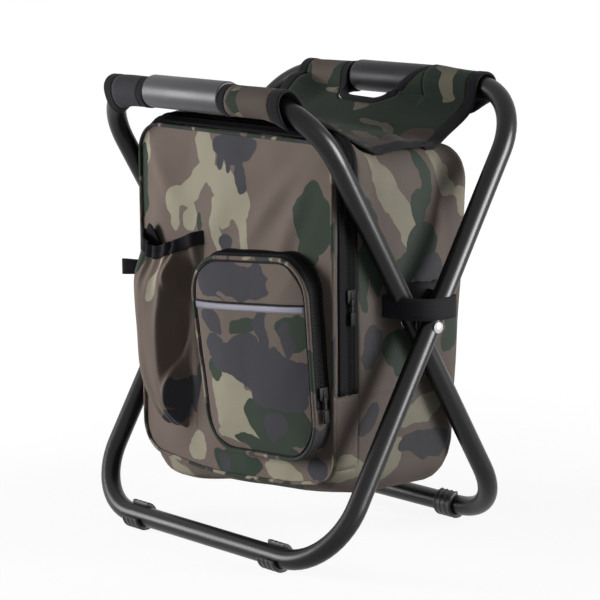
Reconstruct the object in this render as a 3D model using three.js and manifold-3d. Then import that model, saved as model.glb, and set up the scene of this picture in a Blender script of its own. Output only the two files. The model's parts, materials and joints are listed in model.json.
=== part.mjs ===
// Folding cooler stool: two crossed loops of tube, a sling seat and an insulated bag between the legs.
// Millimetres, +Z up, -Y is the front. The origin is on the floor under the pivot.
import * as THREE from 'three';
import Module from 'manifold-3d';
import { mergeVertices } from 'three/addons/utils/BufferGeometryUtils.js';

const wasm = await Module();
wasm.setup();

// Gap between two pieces that touch
const FIT = 0.3;

// Frame: round tube bent into two closed loops
const TUBE_R = 9.5;
const TUBE_WALL = 1.2;
const INNER_HALF = 151.5;
const PIVOT_SPACER = 3;
const LEG = 240;
const INCLINE_DEG = 31.05;
const BEND_R = 64;

// Rivets and spacers at the pivot
const RIVET_R = 3;
const RIVET_HEAD_R = 5.6;
const RIVET_DOME = 3;
const RIVET_TAIL = 1.6;
const SPACER_R = 8;

// Foot clips under the floor bars
const SOLE = 3.8;
const CLIP_WALL = 4.3;
const CLIP_LENGTH = 29;
const CLIP_GAP_DEG = 96;
const CLIP_FIT = 0.6;
const CLIP_OVER_BEND = 4;

// Hand grips on the top bars
const GRIP_R = 15.35;
const GRIP_LENGTH = 107;
const GRIP_EDGE = 2;
const FRONT_GRIP_X = -10.5;
const REAR_GRIP_X = 2;

// Seat sling and its sleeves
const SEAT_HALF = 124;
const SLEEVE_R = 13.2;
const SLEEVE_WALL = 1.6;
const SLEEVE_SIDES = 12;
const SLEEVE_EASE = 0.4;
const SLING_T = 1.6;
const SLING_CLEAR = 0.7;
const SAG_LEFT = 32;
const SAG_RIGHT = 49.5;
const SEAT_LOW_Y = 14;
const LOW_RUN = 55;
const FRONT_LEAVE = { run: 43, drop: 12 };
const REAR_LEAVE = { run: 28, drop: 26 };
const FRONT_NOTCH = 38;
const REAR_NOTCH = 26;
const NOTCH_CORNER = 24;

// Bag outside
const BAG_CLEAR = 5;
const BAG_FRONT = 84;
const BAG_DEPTH = 181;
const BAG_DROP = 36.5;
const BAG_HEIGHT = 318;
const BOTTOM_SAG = 14;
const CORNER_R = 28;
const REAR_R = 40;
const TOP_EDGE_RUN = 18;
const SAG_RUN = 60;
const ZIP_RIDGE = 0.4;
const REAR_LEAN = 0.08;
const REAR_RISE = 16;

// Bag wall, from the outside in
const FABRIC = 1.5;
const FOAM = 4;
const LINER = 0.8;

// Front flap and main zip
const FLAP_DEPTH = 18;
const FLAP_RISE = 18;
const SPLIT_GAP = 0.3;
const PIPE_R = 1.8;
const PIPE_END = 5;
const ZIP_END_RISE = 90;
const TAPE_T = 1;
const TAPE_W = 9;
const SLIDER = { width: 10, height: 12, thick: 2.2 };
const PULL = { width: 6, height: 24, thick: 1.2 };
const SLIDER_RISE = 180;

// Zipped front pocket
const POCKET_X = 47;
const POCKET_W = 160;
const POCKET_TILT_DEG = 5;
const POCKET_RISE = 24.5;
const POCKET_H = 183;
const POCKET_CORNER = 38;
const POCKET_DEPTH = 18;
const POCKET_CROWN = 7;
const POCKET_WALL = 1.2;
const POCKET_TAPE_W = 9;
const POCKET_ZIP_RISE = 48;
const POCKET_ZIP_LEFT = 68;
const POCKET_SLIDER_RISE = 62;
const REFLECTIVE_RISE = 134;
const REFLECTIVE_H = 8;
const REFLECTIVE_T = 0.5;

// Bottle pocket
const BOTTLE_GAP = 6;
const BOTTLE_DEPTH = 34;
const BOTTLE_RISE = 27;
const BOTTLE_H = 189;
const BOTTLE_WALL = 1.2;
const RIM_H = 11;
const RIM_T = 1.4;

// Webbing straps round the legs
const STRAP_W = 20;
const STRAP_T = 1.4;
const STRAP_LIFT = 7.5;
const STRAP_TAB = 8;
const STRAP_EASE = 4;

// Hanger tabs between the seat's edges and the bag
const TAB_W = 12;
const TAB_T = 2;
const TAB_INSET = 2;
const TAB_FROM_SLOPE = 2;

// Places that follow from the sizes above
const INCLINE = THREE.MathUtils.degToRad(INCLINE_DEG);
const OUTER_HALF = INNER_HALF + 2 * TUBE_R + PIVOT_SPACER;
const FLOOR_AXIS_Z = TUBE_R + SOLE;
const PIVOT_Z = FLOOR_AXIS_Z + LEG * Math.cos(INCLINE);
const TOP_Z = PIVOT_Z + LEG * Math.cos(INCLINE);
const BAR_Y = LEG * Math.sin(INCLINE);
const BAG_HALF = INNER_HALF - TUBE_R - BAG_CLEAR;
const BAG_TOP_Z = TOP_Z - BAG_DROP;
const PANEL_BOTTOM_Z = BAG_TOP_Z - BAG_HEIGHT;
const BAG_REAR = BAG_DEPTH - BAG_FRONT;
const LID_Z = TOP_Z - SAG_RIGHT - SLING_T / 2 - FIT;
const ZIP_Y = FLAP_DEPTH - BAG_FRONT;
const HINGE_Z = PANEL_BOTTOM_Z + FLAP_RISE;
const SLEEVE_BORE = (SLEEVE_R - SLEEVE_WALL) * Math.cos(Math.PI / SLEEVE_SIDES);
const SLEEVE_DROP = SLEEVE_BORE - TUBE_R - FIT - SLEEVE_EASE;
const FAR = 1000;

// Finishes
const finish = (color, roughness, metalness) => new THREE.MeshStandardMaterial({ color, roughness, metalness });
const TUBE_BLACK = finish(0x17161a, 0.35, 0.6);
const BRIGHT_STEEL = finish(0xc9c9cc, 0.25, 1);
const GRIP_GREY = finish(0x3c3b40, 0.5, 0);
const BLACK_PLASTIC = finish(0x141416, 0.5, 0);
const PRINT_FABRIC = finish(0x75685b, 0.85, 0);
const BLACK_WEBBING = finish(0x1a1a1e, 0.9, 0);
const ZIP_BLACK = finish(0x121216, 0.6, 0);
const FOAM_WHITE = finish(0xdedfdc, 0.9, 0);
const LINER_SILVER = finish(0xb9bcc0, 0.35, 0.6);
const TAPE_GREY = finish(0x9b98a6, 0.4, 0.2);

// Shape helpers

function solidOf(geometry) {
  const plain = geometry.clone();
  plain.deleteAttribute('normal');
  plain.deleteAttribute('uv');
  const merged = mergeVertices(plain, 1e-4);
  const mesh = new wasm.Mesh({
    numProp: 3,
    vertProperties: new Float32Array(merged.attributes.position.array),
    triVerts: new Uint32Array(merged.index.array),
  });
  return new wasm.Manifold(mesh);
}

function geometryOf(solid) {
  const mesh = solid.getMesh();
  const geometry = new THREE.BufferGeometry();
  geometry.setAttribute('position', new THREE.BufferAttribute(mesh.vertProperties, 3));
  geometry.setIndex(new THREE.BufferAttribute(mesh.triVerts, 1));
  geometry.computeVertexNormals();
  return geometry;
}

function signedVolume(points, triangles) {
  let volume = 0;
  const cross = new THREE.Vector3();
  for (let i = 0; i < triangles.length; i += 3) {
    const [a, b, c] = [0, 1, 2].map((k) => points[triangles[i + k]]);
    volume += a.dot(cross.crossVectors(b, c)) / 6;
  }
  return volume;
}

// Closed solid through rings with equal point counts, capped at both ends or joined into a loop
function loft(rings, joined = false) {
  const count = rings[0].length;
  const points = rings.flat();
  const triangles = [];
  const bands = joined ? rings.length : rings.length - 1;
  for (let i = 0; i < bands; i += 1) {
    const low = i * count;
    const high = ((i + 1) % rings.length) * count;
    for (let k = 0; k < count; k += 1) {
      const next = (k + 1) % count;
      triangles.push(low + k, low + next, high + next, low + k, high + next, high + k);
    }
  }
  if (!joined) {
    const last = (rings.length - 1) * count;
    const ends = [rings[0], rings[rings.length - 1]].map((ring) => centreOf(ring));
    points.push(...ends);
    for (let k = 0; k < count; k += 1) {
      const next = (k + 1) % count;
      triangles.push(rings.length * count, next, k);
      triangles.push(rings.length * count + 1, last + k, last + next);
    }
  }
  if (signedVolume(points, triangles) < 0) triangles.reverse();
  const geometry = new THREE.BufferGeometry().setFromPoints(points);
  geometry.setIndex(triangles);
  geometry.computeVertexNormals();
  return geometry;
}

// Closed sheet between an upper and a lower grid of points
function slab(upper, lower) {
  const rows = upper.length;
  const columns = upper[0].length;
  const points = [...upper.flat(), ...lower.flat()];
  const at = (i, k, side) => side * rows * columns + i * columns + k;
  const triangles = [];
  const quad = (a, b, c, d) => triangles.push(a, b, c, a, c, d);
  for (let i = 0; i < rows - 1; i += 1) {
    for (let k = 0; k < columns - 1; k += 1) {
      quad(at(i, k, 0), at(i + 1, k, 0), at(i + 1, k + 1, 0), at(i, k + 1, 0));
      quad(at(i, k, 1), at(i, k + 1, 1), at(i + 1, k + 1, 1), at(i + 1, k, 1));
    }
  }
  const along = Array.from({ length: rows - 1 }, (_, i) => i);
  const across = Array.from({ length: columns - 1 }, (_, k) => k);
  const rim = [
    ...along.map((i) => [i, 0]),
    ...across.map((k) => [rows - 1, k]),
    ...along.map((i) => [rows - 1 - i, columns - 1]),
    ...across.map((k) => [0, columns - 1 - k]),
  ];
  rim.forEach((from, n) => {
    const to = rim[(n + 1) % rim.length];
    quad(at(...to, 0), at(...from, 0), at(...from, 1), at(...to, 1));
  });
  if (signedVolume(points, triangles) < 0) triangles.reverse();
  const geometry = new THREE.BufferGeometry().setFromPoints(points);
  geometry.setIndex(triangles);
  geometry.computeVertexNormals();
  return geometry;
}

function centreOf(ring) {
  const sum = ring.reduce((total, point) => total.add(point), new THREE.Vector3());
  return sum.divideScalar(ring.length);
}

// Round section of a given radius swept along a path that lies in the plane across `normal`
function sweep(path, normal, radius, sides, joined = false) {
  const rings = path.map((point, i) => {
    const before = path[joined ? (i + path.length - 1) % path.length : Math.max(i - 1, 0)];
    const after = path[joined ? (i + 1) % path.length : Math.min(i + 1, path.length - 1)];
    const tangent = after.clone().sub(before).normalize();
    const across = new THREE.Vector3().crossVectors(normal, tangent);
    return Array.from({ length: sides }, (_, k) => {
      const angle = (2 * Math.PI * k) / sides;
      const ringPoint = point.clone().addScaledVector(across, radius * Math.cos(angle));
      return ringPoint.addScaledVector(normal, radius * Math.sin(angle));
    });
  });
  return loft(rings, joined);
}

// Round-cornered rectangle in the XZ plane at a given y
function roundRect(x0, x1, z0, z1, radius, y, steps) {
  const corners = [
    [x1 - radius, z1 - radius, 0],
    [x0 + radius, z1 - radius, 1],
    [x0 + radius, z0 + radius, 2],
    [x1 - radius, z0 + radius, 3],
  ];
  return corners.flatMap(([cx, cz, quarter]) =>
    Array.from({ length: steps + 1 }, (_, k) => {
      const angle = (Math.PI / 2) * (quarter + k / steps);
      return new THREE.Vector3(cx + radius * Math.cos(angle), y, cz + radius * Math.sin(angle));
    }),
  );
}

function block(x0, x1, y0, y1, z0, z1) {
  const geometry = new THREE.BoxGeometry(x1 - x0, y1 - y0, z1 - z0);
  geometry.translate((x0 + x1) / 2, (y0 + y1) / 2, (z0 + z1) / 2);
  return geometry;
}

const blockSolid = (...limits) => solidOf(block(...limits));

// Lathed about the X axis, from [radius, x] pairs that close on themselves or end on the axis
function turned(profile, sides) {
  const geometry = new THREE.LatheGeometry(profile.map(([r, x]) => new THREE.Vector2(r, x)), sides);
  geometry.rotateZ(-Math.PI / 2);
  return geometryOf(solidOf(geometry));
}

function piece(name, geometry, material) {
  const mesh = new THREE.Mesh(geometry, material);
  mesh.name = name;
  return mesh;
}

// Frame loops, drawn upright in the XZ plane about the pivot

function loopPath(half) {
  const steps = 8;
  return roundRect(-half, half, -LEG, LEG, BEND_R, 0, steps);
}

const ACROSS_LOOP = new THREE.Vector3(0, 1, 0);

function loopTube(half) {
  const sides = 14;
  const boreSides = 8;
  const drillReach = 2 * TUBE_R;
  const holeR = RIVET_R + FIT;
  const path = loopPath(half);
  let tube = solidOf(sweep(path, ACROSS_LOOP, TUBE_R, sides, true));
  tube = tube.subtract(solidOf(sweep(path, ACROSS_LOOP, TUBE_R - TUBE_WALL, boreSides, true)));
  for (const x of [-half, half]) {
    const drill = new THREE.CylinderGeometry(holeR, holeR, drillReach * 2, 12);
    drill.rotateZ(Math.PI / 2);
    drill.translate(x, 0, 0);
    tube = tube.subtract(solidOf(drill));
  }
  return geometryOf(tube);
}

function gripTube() {
  const bore = TUBE_R + FIT;
  const end = GRIP_LENGTH / 2;
  const profile = [
    [bore, -end],
    [GRIP_R - GRIP_EDGE, -end],
    [GRIP_R, GRIP_EDGE - end],
    [GRIP_R, end - GRIP_EDGE],
    [GRIP_R - GRIP_EDGE, end],
    [bore, end],
    [bore, -end],
  ];
  return turned(profile, 18);
}

// Height above the pivot, along the loop, of the top bar's axis at x
function barHeight(half, x) {
  const past = Math.max(Math.abs(x) - (half - BEND_R), 0);
  return LEG - BEND_R + Math.sqrt(BEND_R ** 2 - past ** 2);
}

// Top bar's axis from x0 to x1, in the loop's own plane
function barPath(half, x0, x1, steps) {
  return Array.from({ length: steps + 1 }, (_, i) => {
    const x = THREE.MathUtils.lerp(x0, x1, i / steps);
    return new THREE.Vector3(x, 0, barHeight(half, x));
  });
}

// Slack sleeve hanging on the bar, its top on the tube
function sleeve(half, x0, x1, turn) {
  const steps = 7;
  const drop = new THREE.Vector3(0, 0, -SLEEVE_DROP).applyAxisAngle(new THREE.Vector3(1, 0, 0), -turn);
  const path = barPath(half, x0, x1, steps).map((point) => point.add(drop));
  const outside = solidOf(sweep(path, ACROSS_LOOP, SLEEVE_R, SLEEVE_SIDES));
  const first = path[0].clone().lerp(path[1], -0.2);
  const last = path[steps].clone().lerp(path[steps - 1], -0.2);
  const borePath = [first, ...path.slice(1, -1), last];
  const bore = solidOf(sweep(borePath, ACROSS_LOOP, SLEEVE_R - SLEEVE_WALL, SLEEVE_SIDES));
  return geometryOf(outside.subtract(bore));
}

function frame(label, half, turn, gripX) {
  const group = new THREE.Group();
  group.position.z = PIVOT_Z;
  group.rotation.x = turn;
  const end = turn > 0 ? 'front' : 'rear';
  group.add(piece(`${label}_frame_tube`, loopTube(half), TUBE_BLACK));
  const grip = piece(`grip_${end}`, gripTube(), GRIP_GREY);
  grip.position.set(gripX, 0, LEG);
  group.add(grip);
  const gripEnd = GRIP_LENGTH / 2 + FIT;
  group.add(piece(`seat_sleeve_${end}_left`, sleeve(half, -SEAT_HALF, gripX - gripEnd, turn), PRINT_FABRIC));
  group.add(piece(`seat_sleeve_${end}_right`, sleeve(half, gripX + gripEnd, SEAT_HALF, turn), PRINT_FABRIC));
  return group;
}

// Pivot rivets and spacers, drawn for the right side and turned about for the left

function rivet() {
  const tail = INNER_HALF - TUBE_R - FIT;
  const head = OUTER_HALF + TUBE_R + FIT;
  const profile = [
    [0, tail - RIVET_TAIL],
    [RIVET_HEAD_R, tail - RIVET_TAIL],
    [RIVET_HEAD_R, tail],
    [RIVET_R, tail],
    [RIVET_R, head],
    [RIVET_HEAD_R, head],
    [RIVET_HEAD_R * 0.8, head + RIVET_DOME * 0.6],
    [RIVET_HEAD_R * 0.45, head + RIVET_DOME * 0.9],
    [0, head + RIVET_DOME],
  ];
  return turned(profile, 12);
}

function spacer() {
  const x0 = INNER_HALF + TUBE_R + FIT;
  const x1 = OUTER_HALF - TUBE_R - FIT;
  const bore = RIVET_R + FIT;
  return turned([[bore, x0], [SPACER_R, x0], [SPACER_R, x1], [bore, x1], [bore, x0]], 16);
}

function pivots() {
  const group = new THREE.Group();
  group.position.z = PIVOT_Z;
  for (const side of ['right', 'left']) {
    const half = new THREE.Group();
    half.rotation.z = side === 'right' ? 0 : Math.PI;
    half.add(piece(`pivot_rivet_${side}`, rivet(), BRIGHT_STEEL));
    half.add(piece(`pivot_spacer_${side}`, spacer(), BLACK_PLASTIC));
    group.add(half);
  }
  return group;
}

// Foot clip: an open ring round the floor bar with a flat sole

function footClip() {
  const steps = 14;
  const inner = TUBE_R + CLIP_FIT;
  const outer = TUBE_R + CLIP_WALL;
  const from = THREE.MathUtils.degToRad(135 + CLIP_GAP_DEG / 2);
  const span = THREE.MathUtils.degToRad(360 - CLIP_GAP_DEG);
  const arc = (radius) =>
    Array.from({ length: steps + 1 }, (_, i) => {
      const angle = from + (span * i) / steps;
      return new THREE.Vector2(radius * Math.cos(angle), radius * Math.sin(angle));
    });
  const ring = new THREE.ExtrudeGeometry(new THREE.Shape([...arc(outer), ...arc(inner).reverse()]), {
    depth: CLIP_LENGTH,
    bevelEnabled: false,
  });
  ring.translate(0, 0, -CLIP_LENGTH / 2);
  const sole = blockSolid(-FAR, FAR, -FAR, -FLOOR_AXIS_Z, -FAR, FAR);
  const geometry = geometryOf(solidOf(ring).subtract(sole));
  geometry.rotateX(Math.PI / 2);
  geometry.rotateZ(Math.PI / 2);
  return geometry;
}

// The clip opens towards the outside of the stool and up
function footClips() {
  const group = new THREE.Group();
  const bars = [
    ['front', -1, OUTER_HALF],
    ['rear', 1, INNER_HALF],
  ];
  for (const [end, way, half] of bars) {
    const x = half - BEND_R + CLIP_OVER_BEND - CLIP_LENGTH / 2;
    for (const [side, sign] of [['left', -1], ['right', 1]]) {
      const clip = piece(`foot_clip_${end}_${side}`, footClip(), BLACK_PLASTIC);
      clip.position.set(sign * x, way * BAR_Y, FLOOR_AXIS_Z);
      clip.rotation.z = way < 0 ? Math.PI : 0;
      group.add(clip);
    }
  }
  return group;
}

// Seat sling: a sheet that hangs between the two top bars, lower on the right

function barAxis(half, way, x) {
  const height = barHeight(half, x);
  return new THREE.Vector3(x, way * height * Math.sin(INCLINE), PIVOT_Z + height * Math.cos(INCLINE));
}

function slingHalves(x) {
  const share = (x + SEAT_HALF) / (2 * SEAT_HALF);
  const low = new THREE.Vector2(SEAT_LOW_Y, TOP_Z - THREE.MathUtils.lerp(SAG_LEFT, SAG_RIGHT, share));
  const halves = [
    [INNER_HALF, -1, FRONT_LEAVE],
    [OUTER_HALF, 1, REAR_LEAVE],
  ];
  return halves.map(([half, way, leave]) => {
    const bar = barAxis(half, way, x);
    const start = new THREE.Vector2(bar.y, bar.z - SLEEVE_DROP);
    const bend = new THREE.Vector2(start.x - way * leave.run, start.y - leave.drop);
    const settle = new THREE.Vector2(low.x + way * LOW_RUN, low.y);
    return new THREE.CubicBezierCurve(start, bend, settle, low);
  });
}

// The curve's parameter from `t0` to `t1` at which a rising test turns true
function turningPoint(t0, t1, test) {
  let [low, high] = [t0, t1];
  for (let i = 0; i < 24; i += 1) {
    const middle = (low + high) / 2;
    if (test(middle)) high = middle;
    else low = middle;
  }
  return high;
}

function seatHeight(x, y) {
  const [front, rear] = slingHalves(x);
  const isFront = y < SEAT_LOW_Y;
  const curve = isFront ? front : rear;
  const t = turningPoint(0, 1, (at) => (isFront ? curve.getPoint(at).x > y : curve.getPoint(at).x < y));
  return curve.getPoint(t).y;
}

// How far the notch round a grip reaches in from the bar's axis at x
function notchReach(gripX, depth, x) {
  const inside = GRIP_LENGTH / 2 - Math.abs(x - gripX);
  const left = THREE.MathUtils.clamp(NOTCH_CORNER - inside, 0, NOTCH_CORNER);
  return depth - NOTCH_CORNER + Math.sqrt(NOTCH_CORNER ** 2 - left ** 2);
}

// Half of the sling at x, from clear of the sleeve and the notch to the lowest line
function slingLine(curve, half, way, notch, x, steps) {
  const axis = curve.getPoint(0);
  const past = Math.max(Math.abs(x) - (half - BEND_R), 0);
  const slope = Math.sqrt(1 - (past / BEND_R) ** 2);
  const edge = BAR_Y - notch;
  const isClear = (t) => {
    const point = curve.getPoint(t);
    const from = point.clone().sub(axis);
    const up = (way * from.x * Math.sin(INCLINE) + from.y * Math.cos(INCLINE)) * slope;
    const out = from.x * Math.cos(INCLINE) - way * from.y * Math.sin(INCLINE);
    return Math.hypot(up, out) > SLEEVE_R + SLING_CLEAR && way * point.x < edge;
  };
  const start = turningPoint(0, 1, isClear);
  return Array.from({ length: steps + 1 }, (_, i) => curve.getPoint(THREE.MathUtils.lerp(start, 1, i / steps)));
}

function slingRows(x) {
  const steps = 9;
  const [front, rear] = slingHalves(x);
  const frontNotch = notchReach(FRONT_GRIP_X, FRONT_NOTCH, x);
  const rearNotch = notchReach(REAR_GRIP_X, REAR_NOTCH, x);
  const frontLine = slingLine(front, INNER_HALF, -1, frontNotch, x, steps);
  const rearLine = slingLine(rear, OUTER_HALF, 1, rearNotch, x, steps);
  const line = [...frontLine, ...rearLine.reverse().slice(1)];
  return [SLING_T / 2, -SLING_T / 2].map((distance) =>
    line.map((point, i) => {
      const along = line[Math.min(i + 1, line.length - 1)].clone().sub(line[Math.max(i - 1, 0)]).normalize();
      return new THREE.Vector3(x, point.x - along.y * distance, point.y + along.x * distance);
    }));
}

function seatSling() {
  const steps = 24;
  const rows = Array.from({ length: steps + 1 }, (_, i) =>
    slingRows(THREE.MathUtils.lerp(-SEAT_HALF, SEAT_HALF, i / steps)));
  return slab(rows.map(([upper]) => upper), rows.map(([, lower]) => lower));
}

// Bag: rings from the front panel to the rounded back, which leans back at the top, drawn in by `inset`

function bagSolid(inset) {
  const rearStart = BAG_REAR - REAR_R;
  const dip = -BAG_FRONT + TOP_EDGE_RUN;
  const flat = -BAG_FRONT + SAG_RUN;
  const heights = [
    [-BAG_FRONT + inset, 0, 0, 0],
    [dip, -ZIP_RIDGE, 0.33, 0],
    [(dip + flat) / 2, 0.55, 0.8, 0],
    [flat, 1, 1, 0],
    [rearStart, 1, 1, 1],
  ];
  const ring = (y, dipped, sagged, lean, drawnIn, raised) => {
    const x = BAG_HALF - drawnIn;
    const z0 = PANEL_BOTTOM_Z - BOTTOM_SAG * sagged + drawnIn + raised;
    const z1 = THREE.MathUtils.lerp(BAG_TOP_Z, LID_Z, dipped) - drawnIn;
    const radius = Math.max(CORNER_R - inset, 2);
    const points = roundRect(-x, x, z0, z1, radius, y, 4);
    for (const point of points) point.y += lean * REAR_LEAN * (point.z - PIVOT_Z);
    return points;
  };
  const rings = heights.map(([y, dipped, sagged, lean]) => ring(y, dipped, sagged, lean, inset, 0));
  for (const degrees of [30, 58, 84]) {
    const angle = THREE.MathUtils.degToRad(degrees);
    const round = REAR_R - inset;
    const turned = 1 - Math.cos(angle);
    const y = rearStart + round * Math.sin(angle);
    rings.push(ring(y, 1, 1, 1, inset + round * turned, REAR_RISE * turned));
  }
  return solidOf(loft(rings));
}

// One layer of the bag's wall, split into the bag's own part and the flap's
function bagLayer(outside, thickness) {
  const wall = bagSolid(outside).subtract(bagSolid(outside + thickness));
  const half = SPLIT_GAP / 2;
  const flapSpace = (gap) => blockSolid(-FAR, FAR, -FAR, ZIP_Y - gap, HINGE_Z + gap, FAR);
  return {
    bag: geometryOf(wall.subtract(flapSpace(-half))),
    flap: geometryOf(wall.intersect(flapSpace(half))),
  };
}

// Zip tape lying on the bag's outside from one zip end over the top to the other
function mainTape(y0, y1) {
  const band = bagSolid(-FIT - TAPE_T).subtract(bagSolid(-FIT));
  return geometryOf(band.intersect(blockSolid(-FAR, FAR, y0, y1, PANEL_BOTTOM_Z + ZIP_END_RISE, FAR)));
}

function panelPiping() {
  const x = BAG_HALF - PIPE_R;
  const path = roundRect(-x, x, PANEL_BOTTOM_Z + PIPE_R, BAG_TOP_Z - PIPE_R, CORNER_R - PIPE_R,
    -BAG_FRONT - PIPE_R - FIT, 5);
  const ring = solidOf(sweep(path, ACROSS_LOOP, PIPE_R, 6, true));
  const flapEdge = HINGE_Z + PIPE_END;
  return {
    flap: geometryOf(ring.intersect(blockSolid(-FAR, FAR, -FAR, FAR, flapEdge, FAR))),
    bag: geometryOf(ring.intersect(blockSolid(-FAR, FAR, -FAR, FAR, -FAR, HINGE_Z - SPLIT_GAP))),
  };
}

// Zip slider and pull, drawn on a face that looks along +X with the slider's middle at the origin
function zipSlider() {
  const { width, height, thick } = SLIDER;
  const waist = 0.32;
  const shape = new THREE.Shape();
  shape.moveTo(-width / 2, height / 2);
  shape.quadraticCurveTo(-width * waist, 0, -width / 2 + 1, -height / 2);
  shape.lineTo(width / 2 - 1, -height / 2);
  shape.quadraticCurveTo(width * waist, 0, width / 2, height / 2);
  shape.closePath();
  const geometry = new THREE.ExtrudeGeometry(shape, { depth: thick, bevelEnabled: false, curveSegments: 5 });
  geometry.rotateX(Math.PI / 2);
  geometry.rotateZ(Math.PI / 2);
  return geometry;
}

function zipPull() {
  const { width, height, thick } = PULL;
  const shape = new THREE.Shape();
  const half = width / 2;
  const narrow = half * 0.6;
  shape.moveTo(-narrow, 0);
  shape.lineTo(-half, -height + half);
  shape.absarc(0, -height + half, half, Math.PI, 2 * Math.PI, false);
  shape.lineTo(narrow, 0);
  shape.closePath();
  const geometry = new THREE.ExtrudeGeometry(shape, { depth: thick, bevelEnabled: false, curveSegments: 8 });
  geometry.rotateX(Math.PI / 2);
  geometry.rotateZ(Math.PI / 2);
  return geometry;
}

// A slider with its pull hanging in front, on a tape whose face is at x
function zipSet(label, x, y, z) {
  const slider = piece(`${label}_slider`, zipSlider(), ZIP_BLACK);
  slider.position.set(x + FIT, y, z);
  const pull = piece(`${label}_pull`, zipPull(), ZIP_BLACK);
  pull.position.set(x + FIT + SLIDER.thick + FIT, y, z - SLIDER.height / 4);
  return [slider, pull];
}

// Zipped front pocket on the flap

const POCKET_Z = PANEL_BOTTOM_Z + POCKET_RISE;
const POCKET_BACK = -BAG_FRONT - FIT;
const POCKET_FRONT = POCKET_BACK - POCKET_DEPTH;

function pocketRing(inset, y) {
  const x0 = POCKET_X - POCKET_W / 2 + inset;
  const z0 = POCKET_Z + inset;
  const radius = Math.max(POCKET_CORNER - inset, 4);
  return roundRect(x0, x0 + POCKET_W - 2 * inset, z0, z0 + POCKET_H - 2 * inset, radius, y, 5);
}

function pocketBand(inset, thickness, y0, y1) {
  const outside = solidOf(loft([pocketRing(inset, y0), pocketRing(inset, y1)]));
  const past = 1;
  const inside = [pocketRing(inset + thickness, y0 + past), pocketRing(inset + thickness, y1 - past)];
  return outside.subtract(solidOf(loft(inside)));
}

function pocketFace(forward) {
  const edge = 2 * PIPE_R + FIT;
  const crown = [
    [edge, 0],
    [edge, 0.2],
    [edge + 8, 0.5],
    [edge + 26, 0.85],
    [edge + 52, 1],
  ];
  return solidOf(loft(crown.map(([inset, share]) =>
    pocketRing(inset, POCKET_FRONT - FIT - forward - share * POCKET_CROWN))));
}

function pocketZipTape() {
  const middle = (POCKET_BACK + POCKET_FRONT) / 2;
  const half = POCKET_TAPE_W / 2;
  let tape = pocketBand(-FIT - TAPE_T, TAPE_T, middle + half, middle - half);
  const top = POCKET_Z + POCKET_H - POCKET_CORNER;
  const left = POCKET_X - POCKET_ZIP_LEFT;
  tape = tape.subtract(blockSolid(-FAR, left, -FAR, FAR, -FAR, FAR));
  tape = tape.subtract(blockSolid(-FAR, FAR, -FAR, FAR, -FAR, POCKET_Z + POCKET_ZIP_RISE));
  tape = tape.subtract(blockSolid(-FAR, POCKET_X, -FAR, FAR, -FAR, top));
  return geometryOf(tape);
}

function reflectiveTape() {
  const strip = pocketFace(FIT + REFLECTIVE_T).subtract(pocketFace(FIT));
  const z = POCKET_Z + REFLECTIVE_RISE;
  const clear = POCKET_FRONT - FIT - POCKET_CROWN * 0.2 - FIT;
  return geometryOf(strip.intersect(blockSolid(-FAR, FAR, -FAR, clear, z, z + REFLECTIVE_H)));
}

// The pocket is sewn on at a small tilt, turned about its own middle
function frontPocket() {
  const group = new THREE.Group();
  const tilt = -THREE.MathUtils.degToRad(POCKET_TILT_DEG);
  const middle = new THREE.Vector3(POCKET_X, 0, POCKET_Z + POCKET_H / 2);
  group.rotation.y = tilt;
  group.position.copy(middle).sub(middle.clone().applyAxisAngle(ACROSS_LOOP, tilt));
  group.add(piece('pocket_gusset', geometryOf(pocketBand(0, POCKET_WALL, POCKET_BACK, POCKET_FRONT)), PRINT_FABRIC));
  group.add(piece('pocket_face', geometryOf(pocketFace(0)), PRINT_FABRIC));
  const path = pocketRing(PIPE_R, POCKET_FRONT - FIT - PIPE_R);
  group.add(piece('pocket_piping', sweep(path, ACROSS_LOOP, PIPE_R, 6, true), PRINT_FABRIC));
  group.add(piece('pocket_zip_tape', pocketZipTape(), ZIP_BLACK));
  group.add(piece('reflective_tape', reflectiveTape(), TAPE_GREY));
  const x = POCKET_X + POCKET_W / 2 + FIT + TAPE_T;
  group.add(...zipSet('pocket_zip', x, (POCKET_BACK + POCKET_FRONT) / 2, POCKET_Z + POCKET_SLIDER_RISE));
  return group;
}

// Bottle pocket: a slack half-round cup, open at the top, drawn in by an elastic rim

const BOTTLE_Z = PANEL_BOTTOM_Z + BOTTLE_RISE;
const BOTTLE_LEFT = 2 * PIPE_R + 2 * FIT - BAG_HALF;
const BOTTLE_RIGHT = POCKET_X - POCKET_W / 2 - BOTTLE_GAP;
const BOTTLE_X = (BOTTLE_LEFT + BOTTLE_RIGHT) / 2;
const BOTTLE_HALF = (BOTTLE_RIGHT - BOTTLE_LEFT) / 2;

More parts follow.
